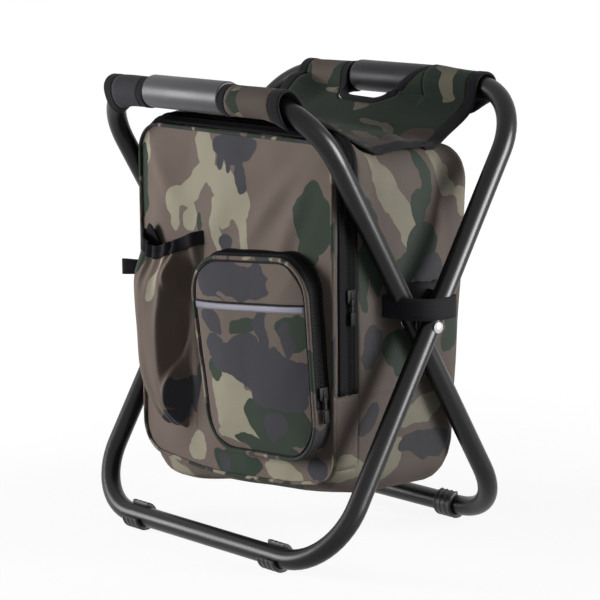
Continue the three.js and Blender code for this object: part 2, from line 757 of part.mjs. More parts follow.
function bottleSolid(inset, z0, z1, back) {
  const sides = 14;
  const shapes = [
    [0, 0.9, 0.5],
    [0.08, 0.98, 0.78],
    [0.35, 1, 0.97],
    [0.7, 0.98, 1],
    [0.89, 0.91, 0.8],
    [1, 0.88, 0.66],
  ];
  const ringAt = (z, width, depth) => {
    const half = BOTTLE_HALF * width - inset;
    const front = Array.from({ length: sides + 1 }, (_, i) => {
      const angle = (Math.PI * i) / sides;
      const y = POCKET_BACK - (BOTTLE_DEPTH * depth - inset) * Math.sin(angle) ** 0.7;
      return new THREE.Vector3(BOTTLE_X + half * Math.cos(angle), y, z);
    });
    const corners = [front[sides], front[0]].map((point) => new THREE.Vector3(point.x, POCKET_BACK + back, z));
    return [...front, ...corners];
  };
  const inRange = shapes
    .map(([share, width, depth]) => [BOTTLE_Z + share * BOTTLE_H, width, depth])
    .filter(([z]) => z > z0 && z < z1);
  const sizeAt = (z) => {
    const share = THREE.MathUtils.clamp((z - BOTTLE_Z) / BOTTLE_H, 0, 1);
    const high = Math.max(shapes.findIndex(([level]) => level >= share), 1);
    const [a, b] = [shapes[high - 1], shapes[high]];
    const part = (share - a[0]) / (b[0] - a[0]);
    return [THREE.MathUtils.lerp(a[1], b[1], part), THREE.MathUtils.lerp(a[2], b[2], part)];
  };
  return solidOf(loft([[z0, ...sizeAt(z0)], ...inRange, [z1, ...sizeAt(z1)]].map((level) => ringAt(...level))));
}

const RING_BACK = 0.01;
const CUT_BACK = 5;

function bottlePocket() {
  const top = BOTTLE_Z + BOTTLE_H;
  const outside = bottleSolid(0, BOTTLE_Z, top, -RING_BACK);
  return geometryOf(outside.subtract(bottleSolid(BOTTLE_WALL, BOTTLE_Z + BOTTLE_WALL, top + CUT_BACK, CUT_BACK)));
}

function bottleRim() {
  const top = BOTTLE_Z + BOTTLE_H;
  const outside = bottleSolid(-FIT - RIM_T, top - RIM_H, top, -RING_BACK);
  return geometryOf(outside.subtract(bottleSolid(-FIT, top - RIM_H - 1, top + 1, CUT_BACK)));
}

// Webbing strap from the bag's side round both legs, just above the pivot

function strap(sign) {
  const z0 = STRAP_LIFT;
  const reach = (z0 + STRAP_W) * Math.tan(INCLINE) + TUBE_R / Math.cos(INCLINE) + FIT;
  const near = z0 * Math.tan(INCLINE) - TUBE_R / Math.cos(INCLINE);
  const bagX = BAG_HALF + FIT;
  const legX = INNER_HALF - TUBE_R + STRAP_EASE;
  const outX = OUTER_HALF + TUBE_R + FIT;
  const line = [
    [bagX, -reach - STRAP_TAB],
    [bagX, -reach - STRAP_EASE],
    [legX, -reach],
    [INNER_HALF + TUBE_R, -reach],
    [outX, near - STRAP_EASE],
    [outX, reach - STRAP_EASE],
    [outX - STRAP_EASE, reach],
    [legX, reach],
    [bagX, reach + STRAP_EASE],
    [bagX, reach + STRAP_TAB],
  ].map(([x, y]) => new THREE.Vector2(sign * x, y));
  const outer = line.map((point, i) => {
    const before = line[Math.max(i - 1, 0)];
    const after = line[Math.min(i + 1, line.length - 1)];
    const into = point.clone().sub(before).normalize();
    const along = into.add(after.clone().sub(point).normalize()).normalize();
    return point.clone().add(new THREE.Vector2(along.y, -along.x).multiplyScalar(sign * STRAP_T));
  });
  const shape = new THREE.Shape([...line, ...outer.reverse()]);
  const geometry = new THREE.ExtrudeGeometry(shape, { depth: STRAP_W, bevelEnabled: false });
  geometry.translate(0, 0, PIVOT_Z + z0);
  return geometry;
}

// Hanger tab from the seat's edge down to the bag's rounded shoulder
function hangTab(sign, y) {
  const inside = SEAT_HALF - TAB_INSET - TAB_T;
  const past = Math.max(inside - (BAG_HALF - CORNER_R), 0);
  const ease = 0.6;
  const shoulder = LID_Z - CORNER_R + Math.sqrt(CORNER_R ** 2 - past ** 2);
  const low = Math.max(shoulder, LID_Z - CORNER_R) + FIT;
  const edges = [y - TAB_W / 2, y + TAB_W / 2].map((at) => seatHeight(sign * (SEAT_HALF - TAB_INSET), at));
  const high = Math.min(...edges) - SLING_T / 2 - ease;
  const x0 = sign > 0 ? inside : -inside - TAB_T;
  return block(x0, x0 + TAB_T, y - TAB_W / 2, y + TAB_W / 2, low, high);
}

// The tabs stand on the level part of the bag's top, one near each end of it
function hangers() {
  const group = new THREE.Group();
  const frontY = SAG_RUN - BAG_FRONT + TAB_W / 2 + TAB_FROM_SLOPE;
  const rearY = BAG_REAR - REAR_R - TAB_W / 2 - TAB_FROM_SLOPE;
  for (const [side, sign] of [['left', -1], ['right', 1]]) {
    group.add(piece(`leg_strap_${side}`, strap(sign), BLACK_WEBBING));
    group.add(piece(`hang_tab_front_${side}`, hangTab(sign, frontY), BLACK_WEBBING));
    group.add(piece(`hang_tab_rear_${side}`, hangTab(sign, rearY), BLACK_WEBBING));
  }
  return group;
}

function bag() {
  const group = new THREE.Group();
  const layers = [
    ['shell', 0, FABRIC, PRINT_FABRIC],
    ['foam', FABRIC + FIT, FOAM, FOAM_WHITE],
    ['liner', FABRIC + FOAM + 2 * FIT, LINER, LINER_SILVER],
  ];
  for (const [name, outside, thickness, material] of layers) {
    const layer = bagLayer(outside, thickness);
    group.add(piece(`bag_${name}`, layer.bag, material));
    group.add(piece(`flap_${name}`, layer.flap, material));
  }
  const piping = panelPiping();
  group.add(piece('bag_piping', piping.bag, PRINT_FABRIC));
  group.add(piece('flap_piping', piping.flap, PRINT_FABRIC));
  const half = SPLIT_GAP / 2;
  group.add(piece('main_zip_tape_bag', mainTape(ZIP_Y + half, ZIP_Y + half + TAPE_W), ZIP_BLACK));
  group.add(piece('main_zip_tape_flap', mainTape(ZIP_Y - half - TAPE_W, ZIP_Y - half), ZIP_BLACK));
  group.add(...zipSet('main_zip', BAG_HALF + FIT + TAPE_T, ZIP_Y, PANEL_BOTTOM_Z + SLIDER_RISE));
  group.add(piece('bottle_pocket', bottlePocket(), PRINT_FABRIC));
  group.add(piece('bottle_pocket_rim', bottleRim(), BLACK_WEBBING));
  return group;
}

const stool = new THREE.Group();
stool.name = 'folding_cooler_stool';
stool.add(frame('outer', OUTER_HALF, -INCLINE, REAR_GRIP_X));
stool.add(frame('inner', INNER_HALF, INCLINE, FRONT_GRIP_X));
stool.add(pivots());
stool.add(footClips());
stool.add(piece('seat_sling', seatSling(), PRINT_FABRIC));
stool.add(bag());
stool.add(frontPocket());
stool.add(hangers());

export default stool;
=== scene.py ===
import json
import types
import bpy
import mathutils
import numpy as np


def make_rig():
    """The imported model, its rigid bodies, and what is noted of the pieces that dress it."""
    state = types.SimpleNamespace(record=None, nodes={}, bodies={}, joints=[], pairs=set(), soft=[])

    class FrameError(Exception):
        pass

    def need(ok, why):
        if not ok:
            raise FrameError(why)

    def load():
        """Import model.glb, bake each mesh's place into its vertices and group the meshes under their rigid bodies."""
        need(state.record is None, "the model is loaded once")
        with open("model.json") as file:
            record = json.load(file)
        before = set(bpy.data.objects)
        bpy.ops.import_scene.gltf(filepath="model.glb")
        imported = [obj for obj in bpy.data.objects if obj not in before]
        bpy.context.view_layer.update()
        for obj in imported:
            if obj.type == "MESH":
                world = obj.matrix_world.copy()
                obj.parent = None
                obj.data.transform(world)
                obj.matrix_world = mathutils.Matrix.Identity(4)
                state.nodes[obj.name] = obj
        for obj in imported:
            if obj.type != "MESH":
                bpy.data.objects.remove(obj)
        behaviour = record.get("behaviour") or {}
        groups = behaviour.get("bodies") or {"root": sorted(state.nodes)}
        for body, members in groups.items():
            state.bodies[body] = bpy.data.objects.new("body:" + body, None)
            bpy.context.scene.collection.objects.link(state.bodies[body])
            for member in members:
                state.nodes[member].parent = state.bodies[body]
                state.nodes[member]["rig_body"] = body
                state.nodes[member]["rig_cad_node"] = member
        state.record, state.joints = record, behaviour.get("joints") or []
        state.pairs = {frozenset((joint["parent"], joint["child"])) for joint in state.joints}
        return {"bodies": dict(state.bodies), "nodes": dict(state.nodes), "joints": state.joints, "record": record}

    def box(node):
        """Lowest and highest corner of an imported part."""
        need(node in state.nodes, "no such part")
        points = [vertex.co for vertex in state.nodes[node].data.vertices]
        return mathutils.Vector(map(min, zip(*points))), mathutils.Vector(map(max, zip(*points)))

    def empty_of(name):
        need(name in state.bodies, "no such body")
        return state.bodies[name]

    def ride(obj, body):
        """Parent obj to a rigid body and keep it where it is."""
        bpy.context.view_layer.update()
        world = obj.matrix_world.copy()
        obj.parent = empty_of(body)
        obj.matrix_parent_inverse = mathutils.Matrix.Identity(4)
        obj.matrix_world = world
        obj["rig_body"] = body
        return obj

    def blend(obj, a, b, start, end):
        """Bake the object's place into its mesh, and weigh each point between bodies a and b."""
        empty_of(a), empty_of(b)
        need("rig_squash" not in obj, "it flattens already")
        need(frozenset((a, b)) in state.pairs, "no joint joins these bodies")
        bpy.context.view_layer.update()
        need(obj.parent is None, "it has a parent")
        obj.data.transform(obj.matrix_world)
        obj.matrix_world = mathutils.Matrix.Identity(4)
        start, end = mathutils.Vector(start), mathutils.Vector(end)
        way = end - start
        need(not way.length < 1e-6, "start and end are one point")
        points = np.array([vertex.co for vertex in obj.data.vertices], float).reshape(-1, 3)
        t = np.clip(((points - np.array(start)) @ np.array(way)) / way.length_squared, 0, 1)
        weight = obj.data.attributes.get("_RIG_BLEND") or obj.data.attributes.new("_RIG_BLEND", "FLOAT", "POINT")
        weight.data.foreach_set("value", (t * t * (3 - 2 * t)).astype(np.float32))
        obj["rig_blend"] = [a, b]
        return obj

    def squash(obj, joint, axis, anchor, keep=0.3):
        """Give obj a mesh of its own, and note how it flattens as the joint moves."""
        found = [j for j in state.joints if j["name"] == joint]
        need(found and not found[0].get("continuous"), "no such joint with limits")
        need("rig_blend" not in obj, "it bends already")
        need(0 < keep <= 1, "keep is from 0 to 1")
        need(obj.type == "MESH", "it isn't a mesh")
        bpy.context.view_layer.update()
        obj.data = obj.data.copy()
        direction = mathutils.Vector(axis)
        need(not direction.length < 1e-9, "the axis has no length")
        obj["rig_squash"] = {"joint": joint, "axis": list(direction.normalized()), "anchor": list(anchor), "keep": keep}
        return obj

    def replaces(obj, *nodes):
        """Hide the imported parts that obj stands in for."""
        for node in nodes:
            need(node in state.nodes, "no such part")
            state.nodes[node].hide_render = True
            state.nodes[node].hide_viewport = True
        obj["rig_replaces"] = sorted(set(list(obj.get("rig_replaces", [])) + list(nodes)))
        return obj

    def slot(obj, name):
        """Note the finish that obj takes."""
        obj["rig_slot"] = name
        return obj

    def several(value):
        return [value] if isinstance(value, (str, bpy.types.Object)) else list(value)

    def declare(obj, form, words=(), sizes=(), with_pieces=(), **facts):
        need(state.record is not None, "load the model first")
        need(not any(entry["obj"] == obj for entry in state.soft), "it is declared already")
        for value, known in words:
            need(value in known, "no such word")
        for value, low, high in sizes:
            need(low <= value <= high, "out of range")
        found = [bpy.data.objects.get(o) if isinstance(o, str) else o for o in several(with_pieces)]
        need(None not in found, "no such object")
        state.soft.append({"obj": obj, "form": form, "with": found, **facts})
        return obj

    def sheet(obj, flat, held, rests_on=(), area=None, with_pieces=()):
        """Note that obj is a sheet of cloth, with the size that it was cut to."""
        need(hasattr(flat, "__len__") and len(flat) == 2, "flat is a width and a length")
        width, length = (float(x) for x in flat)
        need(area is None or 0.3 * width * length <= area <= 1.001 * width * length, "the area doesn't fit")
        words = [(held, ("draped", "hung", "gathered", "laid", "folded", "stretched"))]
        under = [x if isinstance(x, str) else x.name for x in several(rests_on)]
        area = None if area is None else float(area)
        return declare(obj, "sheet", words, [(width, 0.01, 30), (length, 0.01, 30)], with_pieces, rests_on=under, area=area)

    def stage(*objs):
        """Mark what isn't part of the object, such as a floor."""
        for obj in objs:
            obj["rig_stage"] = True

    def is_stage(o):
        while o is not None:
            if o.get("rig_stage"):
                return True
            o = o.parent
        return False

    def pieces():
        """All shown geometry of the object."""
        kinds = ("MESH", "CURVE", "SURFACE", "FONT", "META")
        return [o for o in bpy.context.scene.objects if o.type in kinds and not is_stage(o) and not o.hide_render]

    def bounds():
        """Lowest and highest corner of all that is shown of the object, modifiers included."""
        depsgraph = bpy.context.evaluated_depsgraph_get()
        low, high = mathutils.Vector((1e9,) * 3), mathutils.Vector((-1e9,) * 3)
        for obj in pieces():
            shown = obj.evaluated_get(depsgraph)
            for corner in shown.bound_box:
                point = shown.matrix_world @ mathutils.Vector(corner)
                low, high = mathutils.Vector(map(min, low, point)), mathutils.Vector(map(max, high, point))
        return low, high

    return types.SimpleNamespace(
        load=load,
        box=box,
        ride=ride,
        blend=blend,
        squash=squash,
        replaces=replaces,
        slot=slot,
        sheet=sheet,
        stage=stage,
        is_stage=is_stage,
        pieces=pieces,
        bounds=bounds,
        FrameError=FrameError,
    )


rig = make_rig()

bl_info = {
    "name": "Folding cooler stool",
    "version": (1, 0, 0),
    "blender": (4, 5, 0),
    "location": "View3D > Sidebar > Stool",
    "description": "Folding cooler stool: tube frame, sling seat, printed bag, pockets, zips and webbing",
    "category": "Object",
}

import json
import math

import bmesh
import bpy
from bpy.props import FloatProperty, FloatVectorProperty, PointerProperty
from mathutils import Matrix, Vector, noise

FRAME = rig.load()
CAD_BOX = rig.bounds()
MM = 0.001


def node_box(*nodes):
    """Lowest and highest corners of some CAD nodes taken together."""
    boxes = [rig.box(node) for node in nodes]
    low = Vector(min(box[0][i] for box in boxes) for i in range(3))
    high = Vector(max(box[1][i] for box in boxes) for i in range(3))
    return low, high


def middle_of(node):
    low, high = node_box(node)
    return (low + high) / 2


JOINTS = {joint["name"]: joint for joint in FRAME["joints"]}
PIVOT = Vector(JOINTS["fold"]["pos_m"])
FLAP_HINGE = Vector(JOINTS["flap_open"]["pos_m"])
FRONT_BAR = middle_of("grip_front")
REAR_BAR = middle_of("grip_rear")
LEG = math.hypot(REAR_BAR.y - PIVOT.y, REAR_BAR.z - PIVOT.z)
INCLINE = math.atan2(REAR_BAR.y - PIVOT.y, REAR_BAR.z - PIVOT.z)
BAG_LOW, BAG_HIGH = node_box("bag_shell")
FLAP_LOW, FLAP_HIGH = node_box("flap_shell")
POCKET_LOW, POCKET_HIGH = node_box("pocket_gusset")
FACE_LOW, FACE_HIGH = node_box("pocket_face")
BOTTLE_LOW, BOTTLE_HIGH = node_box("bottle_pocket")
SEAT_LOW, SEAT_HIGH = node_box("seat_sling")
TAPE_LOW, TAPE_HIGH = node_box("reflective_tape")
FRONT_Y = FLAP_LOW.y
ZIP_Y = FLAP_HIGH.y
PANEL_LOW = node_box("bag_piping")[0].z
PANEL_HIGH = node_box("flap_piping")[1].z
GRIP_BOXES = {1: node_box("grip_rear"), -1: node_box("grip_front")}
BACK = next(mount for mount in FRAME["record"]["mounts"] if mount["name"] == "bag_back")
REAR_LEAN = -BACK["axis"][2] / BACK["axis"][1]
REAR_Y = BACK["pos_m"][1] + REAR_LEAN * (PIVOT.z - BACK["pos_m"][2])
POCKET_WAY = JOINTS["pocket_zip_slide"]["axis"]
POCKET_TILT = math.atan2(-POCKET_WAY[0], POCKET_WAY[2])
BAG_HEART = Vector((0, 0, PIVOT.z))
BEHIND_MOUTH = Vector((0, 0.1, PIVOT.z))
SIDES = (("right", 1), ("left", -1))


def linear(red, green, blue):
    """A colour as seen on a screen, 0 to 255, as the linear colour that Blender works in."""
    shares = [value / 255 for value in (red, green, blue)]
    return tuple(s / 12.92 if s <= 0.04045 else ((s + 0.055) / 1.055) ** 2.4 for s in shares)


def length_of(label, description, length):
    """A length in mm as a property in metres."""
    return FloatProperty(name=label, description=description, default=length * MM, min=0, subtype="DISTANCE",
                         unit="LENGTH", precision=4)


def colour_of(label, description, *screen):
    """A colour as seen on a screen as a property."""
    return FloatVectorProperty(name=label, description=description, default=linear(*screen), min=0, max=1,
                               size=3, subtype="COLOR")


class StoolSizes(bpy.types.PropertyGroup):
    """Sizes that shape the stool's visible pieces."""

    tube_radius: length_of("Tube radius", "Half the diameter of the frame tube", 9.5)
    bend_radius: length_of("Bend radius", "Radius of the frame's corners at the tube's axis", 64)
    sleeve_radius: length_of("Sleeve radius", "Radius of the cloth sleeve round a top bar", 13.6)
    front_notch: length_of("Front notch", "How far the seat is cut back from the front bar at its grip", 38)
    rear_notch: length_of("Rear notch", "How far the seat is cut back from the rear bar at its grip", 22)
    front_corner: length_of("Front notch corner", "Radius of the front cut's rounded corners", 24)
    rear_corner: length_of("Rear notch corner", "Radius of the rear cut's left corner", 14)
    cloth: length_of("Cloth thickness", "Thickness of the printed cloth", 1.3)
    binding: length_of("Binding width", "Width of the black edge binding", 9)
    side_binding: length_of("Side binding width", "Width of the binding along the seat's two sides", 13)
    wall: length_of("Wall thickness", "Cloth, foam and film of the bag's wall together", 6.6)
    corner: length_of("Bag corner", "Radius of the bag's corners seen from the front", 28)
    rear_round: length_of("Rear rounding", "Radius of the bag's rear edges", 40)
    piping: length_of("Piping radius", "Radius of the covered cord along the panel's edge", 1.8)
    tooth_pitch: length_of("Zip pitch", "Distance between two teeth of a zip", 2.6)
    stitch_pitch: length_of("Stitch pitch", "Distance between two stitches", 3.4)


class StoolColours(bpy.types.PropertyGroup):
    """Colours of the stool's finishes."""

    brown: colour_of("Brown", "Ground colour of the print", 121, 108, 100)
    khaki: colour_of("Khaki", "Lightest colour of the print", 169, 163, 143)
    green: colour_of("Green", "Green of the print", 54, 66, 55)
    charcoal: colour_of("Charcoal", "Darkest colour of the print", 70, 69, 75)
    paint: colour_of("Tube paint", "Powder coat on the frame", 15, 15, 18)
    grip: colour_of("Grip", "Moulded front grip, worn paler", 66, 65, 70)
    shaded_grip: colour_of("Rear grip", "Moulded rear grip", 38, 38, 42)
    plastic: colour_of("Plastic", "Foot clips and spacers", 27, 27, 30)
    steel: colour_of("Steel", "Rivets", 205, 205, 208)
    webbing: colour_of("Webbing", "Binding, straps and tabs", 22, 22, 26)
    zip: colour_of("Zip", "Zip tape and teeth", 19, 19, 22)
    metal: colour_of("Zip metal", "Sliders and pulls", 15, 15, 17)
    reflective: colour_of("Reflective", "Reflective strip on the pocket", 128, 126, 139)
    silver: colour_of("Silver", "Film that lines the bag", 196, 199, 204)
    thread: colour_of("Thread", "Sewing thread", 52, 50, 52)


# Mesh helpers


def surface(bm, across, along, place):
    """A grid of across by along faces whose corners go to place(u, v), both from 0 to 1."""
    made = bmesh.ops.create_grid(bm, x_segments=across, y_segments=along, size=1.0)["verts"]
    for vert in made:
        vert.co = place((vert.co.x + 1) / 2, (vert.co.y + 1) / 2)
    return made


def weld(bm, distance=0.02 * MM):
    bmesh.ops.remove_doubles(bm, verts=bm.verts[:], dist=distance)


def rim_edges(bm):
    return [edge for edge in bm.edges if edge.is_boundary]


def close_holes(bm, edges):
    bmesh.ops.holes_fill(bm, edges=edges, sides=0)


def mend_normals(bm):
    bmesh.ops.recalc_face_normals(bm, faces=bm.faces[:])
    return bm


def flip(bm):
    bmesh.ops.reverse_faces(bm, faces=bm.faces[:])
    return bm


def face_away(bm, inside):
    """Turns the faces so that most look away from a point."""
    mend_normals(bm)
    outward = sum(f.normal.dot(f.calc_center_median() - inside) * f.calc_area() for f in bm.faces)
    return flip(bm) if outward < 0 else bm


def sheet_mesh(across, along, place, inside):
    """A mesh of one grid whose faces look away from a point."""
    bm = bmesh.new()
    surface(bm, across, along, place)
    return face_away(bm, inside)


def lay_weave(bm):
    """UV map in metres, seen square on from the side that each face looks to."""
    layer = bm.loops.layers.uv.new("weave")
    for face in bm.faces:
        sides = [abs(value) for value in face.normal]
        drop = sides.index(max(sides))
        keep = [axis for axis in range(3) if axis != drop]
        for loop in face.loops:
            loop[layer].uv = (loop.vert.co[keep[0]], loop.vert.co[keep[1]])


def link_object(name, data):
    obj = bpy.data.objects.new(name, data)
    bpy.context.scene.collection.objects.link(obj)
    return obj


def make_piece(name, bm, material, slot, *nodes):
    """An object at the origin from a finished bmesh, standing for some CAD nodes."""
    bm.normal_update()
    lay_weave(bm)
    mesh = bpy.data.meshes.new(name)
    bm.to_mesh(mesh)
    bm.free()
    mesh.shade_smooth()
    mesh.materials.append(material)
    obj = link_object(name, mesh)
    if nodes:
        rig.replaces(obj, *nodes)
    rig.slot(obj, slot)
    return obj


def printed_piece(name, bm, label, *nodes):
    return make_piece(name, bm, printed_cloth(label), "printed_fabric", *nodes)


def webbing_piece(name, bm, *nodes):
    return make_piece(name, bm, black_webbing(), "black_webbing", *nodes)


def thicken(obj, thickness, offset=-1.0):
    """Gives a sheet its thickness: offset -1 grows it inwards, 0 both ways."""
    wall = obj.modifiers.new("thickness", "SOLIDIFY")
    wall.thickness = thickness
    wall.offset = offset
    wall.use_even_offset = True
    return obj


def smoothed(obj):
    rounder = obj.modifiers.new("smooth", "SUBSURF")
    rounder.levels = 1
    rounder.render_levels = 1
    return obj


def softened(obj, width):
    edge = obj.modifiers.new("edges", "BEVEL")
    edge.width = width
    edge.segments = 2
    edge.limit_method = "ANGLE"
    return obj


def clamp(value):
    return min(max(value, 0.0), 1.0)


def smooth_step(low, high, value):
    share = clamp((value - low) / (high - low))
    return share * share * (3 - 2 * share)


def mix(low, high, share):
    return low + (high - low) * share


def bump(value, centre, width):
    """A smooth hill of height 1 and the given width."""
    return math.exp(-((value - centre) / width) ** 2)


def wobble(x, y, z):
    """Smooth unevenness between about -1 and 1, the same on every run."""
    return noise.noise(Vector((x, y, z)))


def extrude_ring(bm, edges, move):
    made = bmesh.ops.extrude_edge_only(bm, edges=edges)["geom"]
    verts = [item for item in made if isinstance(item, bmesh.types.BMVert)]
    bmesh.ops.translate(bm, verts=verts, vec=move)
    fresh = set(verts)
    return [item for item in made if isinstance(item, bmesh.types.BMEdge) and set(item.verts) <= fresh]


def spin(bm, edges, centre, axis, angle, steps, merge=False):
    """Sweeps a profile round an axis and gives back the edges where it ends."""
    verts = list(dict.fromkeys(vert for edge in edges for vert in edge.verts))
    made = bmesh.ops.spin(bm, geom=verts + edges, cent=centre, axis=axis, dvec=(0, 0, 0), angle=angle,
                          steps=steps, use_merge=merge, use_normal_flip=False, use_duplicate=False)
    return [item for item in made["geom_last"] if isinstance(item, bmesh.types.BMEdge)]


def chain(bm, points, closed=False):
    """Edges through points, as the profile for a spin."""
    verts = [bm.verts.new(point) for point in points]
    pairs = list(zip(verts, verts[1:]))
    if closed:
        pairs.append((verts[-1], verts[0]))
    return [bm.edges.new(pair) for pair in pairs]


def turned(profile, centre, steps):
    """A body of revolution about the X axis through centre, from (x, radius) pairs."""
    bm = bmesh.new()
    points = [Vector((x, 0, radius)) for x, radius in profile]
    edges = chain(bm, points, closed=profile[0][1] > 0)
    spin(bm, edges, (0, 0, 0), (1, 0, 0), 2 * math.pi, steps, merge=True)
    weld(bm)
    bmesh.ops.translate(bm, verts=bm.verts[:], vec=centre)
    return mend_normals(bm)


def closed_cord(points, radius, sides):
    """A round cord through points that lie square to Y, joined end to end."""
    count = len(points)
    across = Vector((0, 1, 0))

    def place(u, v):
        i = round(v * count)
        side = across.cross(points[(i + 1) % count] - points[(i - 1) % count]).normalized()
        angle = 2 * math.pi * u
        return points[i % count] + radius * (math.cos(angle) * side + math.sin(angle) * across)

    bm = bmesh.new()
    surface(bm, sides, count, place)
    weld(bm)
    return mend_normals(bm)


def rounded_block(bm, centre, size, edge):
    """A box with rounded edges about a centre."""
    matrix = Matrix.Translation(centre) @ Matrix.Diagonal((*size, 1))
    made = bmesh.ops.create_cube(bm, size=1.0, matrix=matrix)["verts"]
    edges = list(dict.fromkeys(e for vert in made for e in vert.link_edges))
    bmesh.ops.bevel(bm, geom=edges, offset=edge, offset_type="OFFSET", affect="EDGES", segments=2,
                    profile=0.5, material=-1)


def bead_row(bm, legs, pitch, half_size, hand=1):
    """Rounded beads at an even pitch along legs, each given by its start, its end and the way across it."""
    shape = Matrix.Diagonal((*half_size, 1))
    spare = 0.0
    for start, end, side in legs:
        step = end - start
        along = step.normalized()
        turn = Matrix((along, side, along.cross(side) * hand)).transposed().to_4x4()
        while spare < step.length:
            place = Matrix.Translation(start + along * spare) @ turn
            bmesh.ops.create_icosphere(bm, subdivisions=1, radius=1.0, matrix=place @ shape)
            spare += pitch
        spare -= step.length


# Share of the pitch that a stitch fills, its width and its height
STITCH_FILL = 0.66
STITCH_WIDTH = 0.6 * MM
STITCH_HEIGHT = 0.45 * MM


def stitches(rows):
    """Small raised stitches along rows, each given by its points and the ways that the cloth looks there."""
    pitch = sizes_now().stitch_pitch
    half_size = (STITCH_FILL * pitch / 2, STITCH_WIDTH / 2, STITCH_HEIGHT)
    bm = bmesh.new()
    for points, normals in rows:
        legs = []
        for start, end, normal in zip(points, points[1:], normals):
            legs.append((start, end, normal.cross(end - start).normalized()))
        bead_row(bm, legs, pitch, half_size)
    return bm


def sizes_now():
    return bpy.context.scene.stool_sizes


def colours_now():
    return bpy.context.scene.stool_colours


# Node helpers


class Nodes:
    """A node tree, with short ways to add nodes to it."""

    def __init__(self, tree):
        self.tree = tree

    def add(self, kind, inputs=None, **settings):
        made = self.tree.nodes.new(kind)
        for key, value in settings.items():
            setattr(made, key, value)
        for key, value in (inputs or {}).items():
            self.feed(made.inputs[key], value)
        return made

    def feed(self, socket, value):
        if isinstance(value, bpy.types.NodeSocket):
            self.tree.links.new(value, socket)
        else:
            socket.default_value = value

    def math(self, operation, first, second=0.0):
        return self.add("ShaderNodeMath", {0: first, 1: second}, operation=operation).outputs[0]

    def vector(self, operation, first, second):
        return self.add("ShaderNodeVectorMath", {0: first, 1: second}, operation=operation).outputs[0]

    def length(self, vector):
        return self.add("ShaderNodeVectorMath", {0: vector}, operation="LENGTH").outputs["Value"]

    def parts(self, vector):
        return self.add("ShaderNodeSeparateXYZ", {0: vector}).outputs

    def blend(self, share, first, second):
        inputs = {"Factor": share, "A": first, "B": second}
        return self.add("ShaderNodeMix", inputs, data_type="RGBA").outputs["Result"]

    def range(self, value, low, high, to_low, to_high):
        return self.add("ShaderNodeMapRange", {0: value, 1: low, 2: high, 3: to_low, 4: to_high}).outputs[0]

    def above(self, value, level, soft):
        """0 below a level and 1 above it, with a soft change."""
        return self.range(value, level - soft, level + soft, 0.0, 1.0)

    def noise(self, vector, scale, detail=2.0, roughness=0.5, output="Fac"):
        inputs = {"Vector": vector, "Scale": scale, "Detail": detail, "Roughness": roughness}
        return self.add("ShaderNodeTexNoise", inputs).outputs[output]

    def place(self):
        return self.add("ShaderNodeTexCoord").outputs["Object"]

    def uv(self):
        return self.add("ShaderNodeUVMap", uv_map="weave").outputs[0]

    def seen(self):
        """1 for rays that come straight from the camera or by mirrors and glass, 0 for the rest."""
        rays = self.add("ShaderNodeLightPath").outputs
        mirrored = self.math("MAXIMUM", rays["Is Glossy Ray"], rays["Is Transmission Ray"])
        return self.math("MAXIMUM", rays["Is Camera Ray"], mirrored)

    def show(self, output, socket):
        self.feed(self.tree.nodes[output].inputs["Surface"], socket)


class Shader(Nodes):
    """A material's nodes round its main shader."""

    def __init__(self, name):
        self.material = bpy.data.materials.new(name)
        self.material.use_nodes = True
        super().__init__(self.material.node_tree)
        self.body = self.tree.nodes["Principled BSDF"]

    def relief(self, height, distance, strength):
        inputs = {"Height": height, "Distance": distance, "Strength": strength}
        self.feed(self.body.inputs["Normal"], self.add("ShaderNodeBump", inputs).outputs[0])

    def set(self, **values):
        for key, value in values.items():
            self.feed(self.body.inputs[key.replace("_", " ").title().replace("Ior", "IOR")], value)

    def wear(self, field, low, high, share, key):
        """Colours the body, going over to the worn colour by a share where the field is high."""
        base = rgba(getattr(colours_now(), key))
        worn = rgba(linear(*WORN[key]))
        self.set(base_color=self.blend(self.range(field, low, high, 0, share), base, worn))


def rgba(colour):
    return (*colour, 1.0)


FINISHES = {}

# Colour that each finish goes over to where it is rubbed, brushed or woven, as seen on a screen
WORN = {
    "paint": (20, 20, 24),
    "grip": (78, 77, 82),
    "shaded_grip": (78, 77, 82),
    "plastic": (58, 57, 60),
    "steel": (150, 150, 154),
    "webbing": (36, 35, 40),
    "zip": (31, 30, 34),
    "metal": (38, 38, 41),
    "reflective": (118, 115, 128),
    "silver": (160, 163, 170),
    "thread": (80, 78, 80),
}


def finish(maker):
    """Makes each finish once and hands it out by the maker's name and its labels."""

    def kept(*labels):
        name = "_".join((maker.__name__, *labels))
        if name not in FINISHES:
            shader = Shader(name)
            maker(shader, *labels)
            FINISHES[name] = shader.material
        return FINISHES[name]

    return kept


@finish
def powder_coat(shader):
    place = shader.place()
    wear = shader.noise(place, 7)
    shader.wear(wear, 0.35, 0.75, 0.3, "paint")
    shader.set(roughness=shader.range(wear, 0.3, 0.7, 0.3, 0.36), specular_ior_level=0.27)
    shader.relief(shader.noise(place, 1400), 0.01 * MM, 0.04)


@finish
def moulded_grip(shader, end):
    place = shader.place()
    wear = shader.noise(place, 30, 4, 0.6)
    key, shine = ("grip", 0.4) if end == "front" else ("shaded_grip", 0.16)
    shader.wear(wear, 0.4, 0.8, 0.35, key)
    shader.set(roughness=shader.range(wear, 0.3, 0.7, 0.38, 0.48), specular_ior_level=shine)
    shader.relief(shader.noise(place, 900, 3, 0.6), 0.12 * MM, 0.45)


@finish
def black_plastic(shader):
    place = shader.place()
    rub = shader.noise(place, 60, 4, 0.6)
    shader.wear(rub, 0.5, 0.85, 0.3, "plastic")
    shader.set(roughness=shader.range(rub, 0.3, 0.7, 0.38, 0.55))
    shader.relief(shader.noise(place, 1100), 0.06 * MM, 0.5)


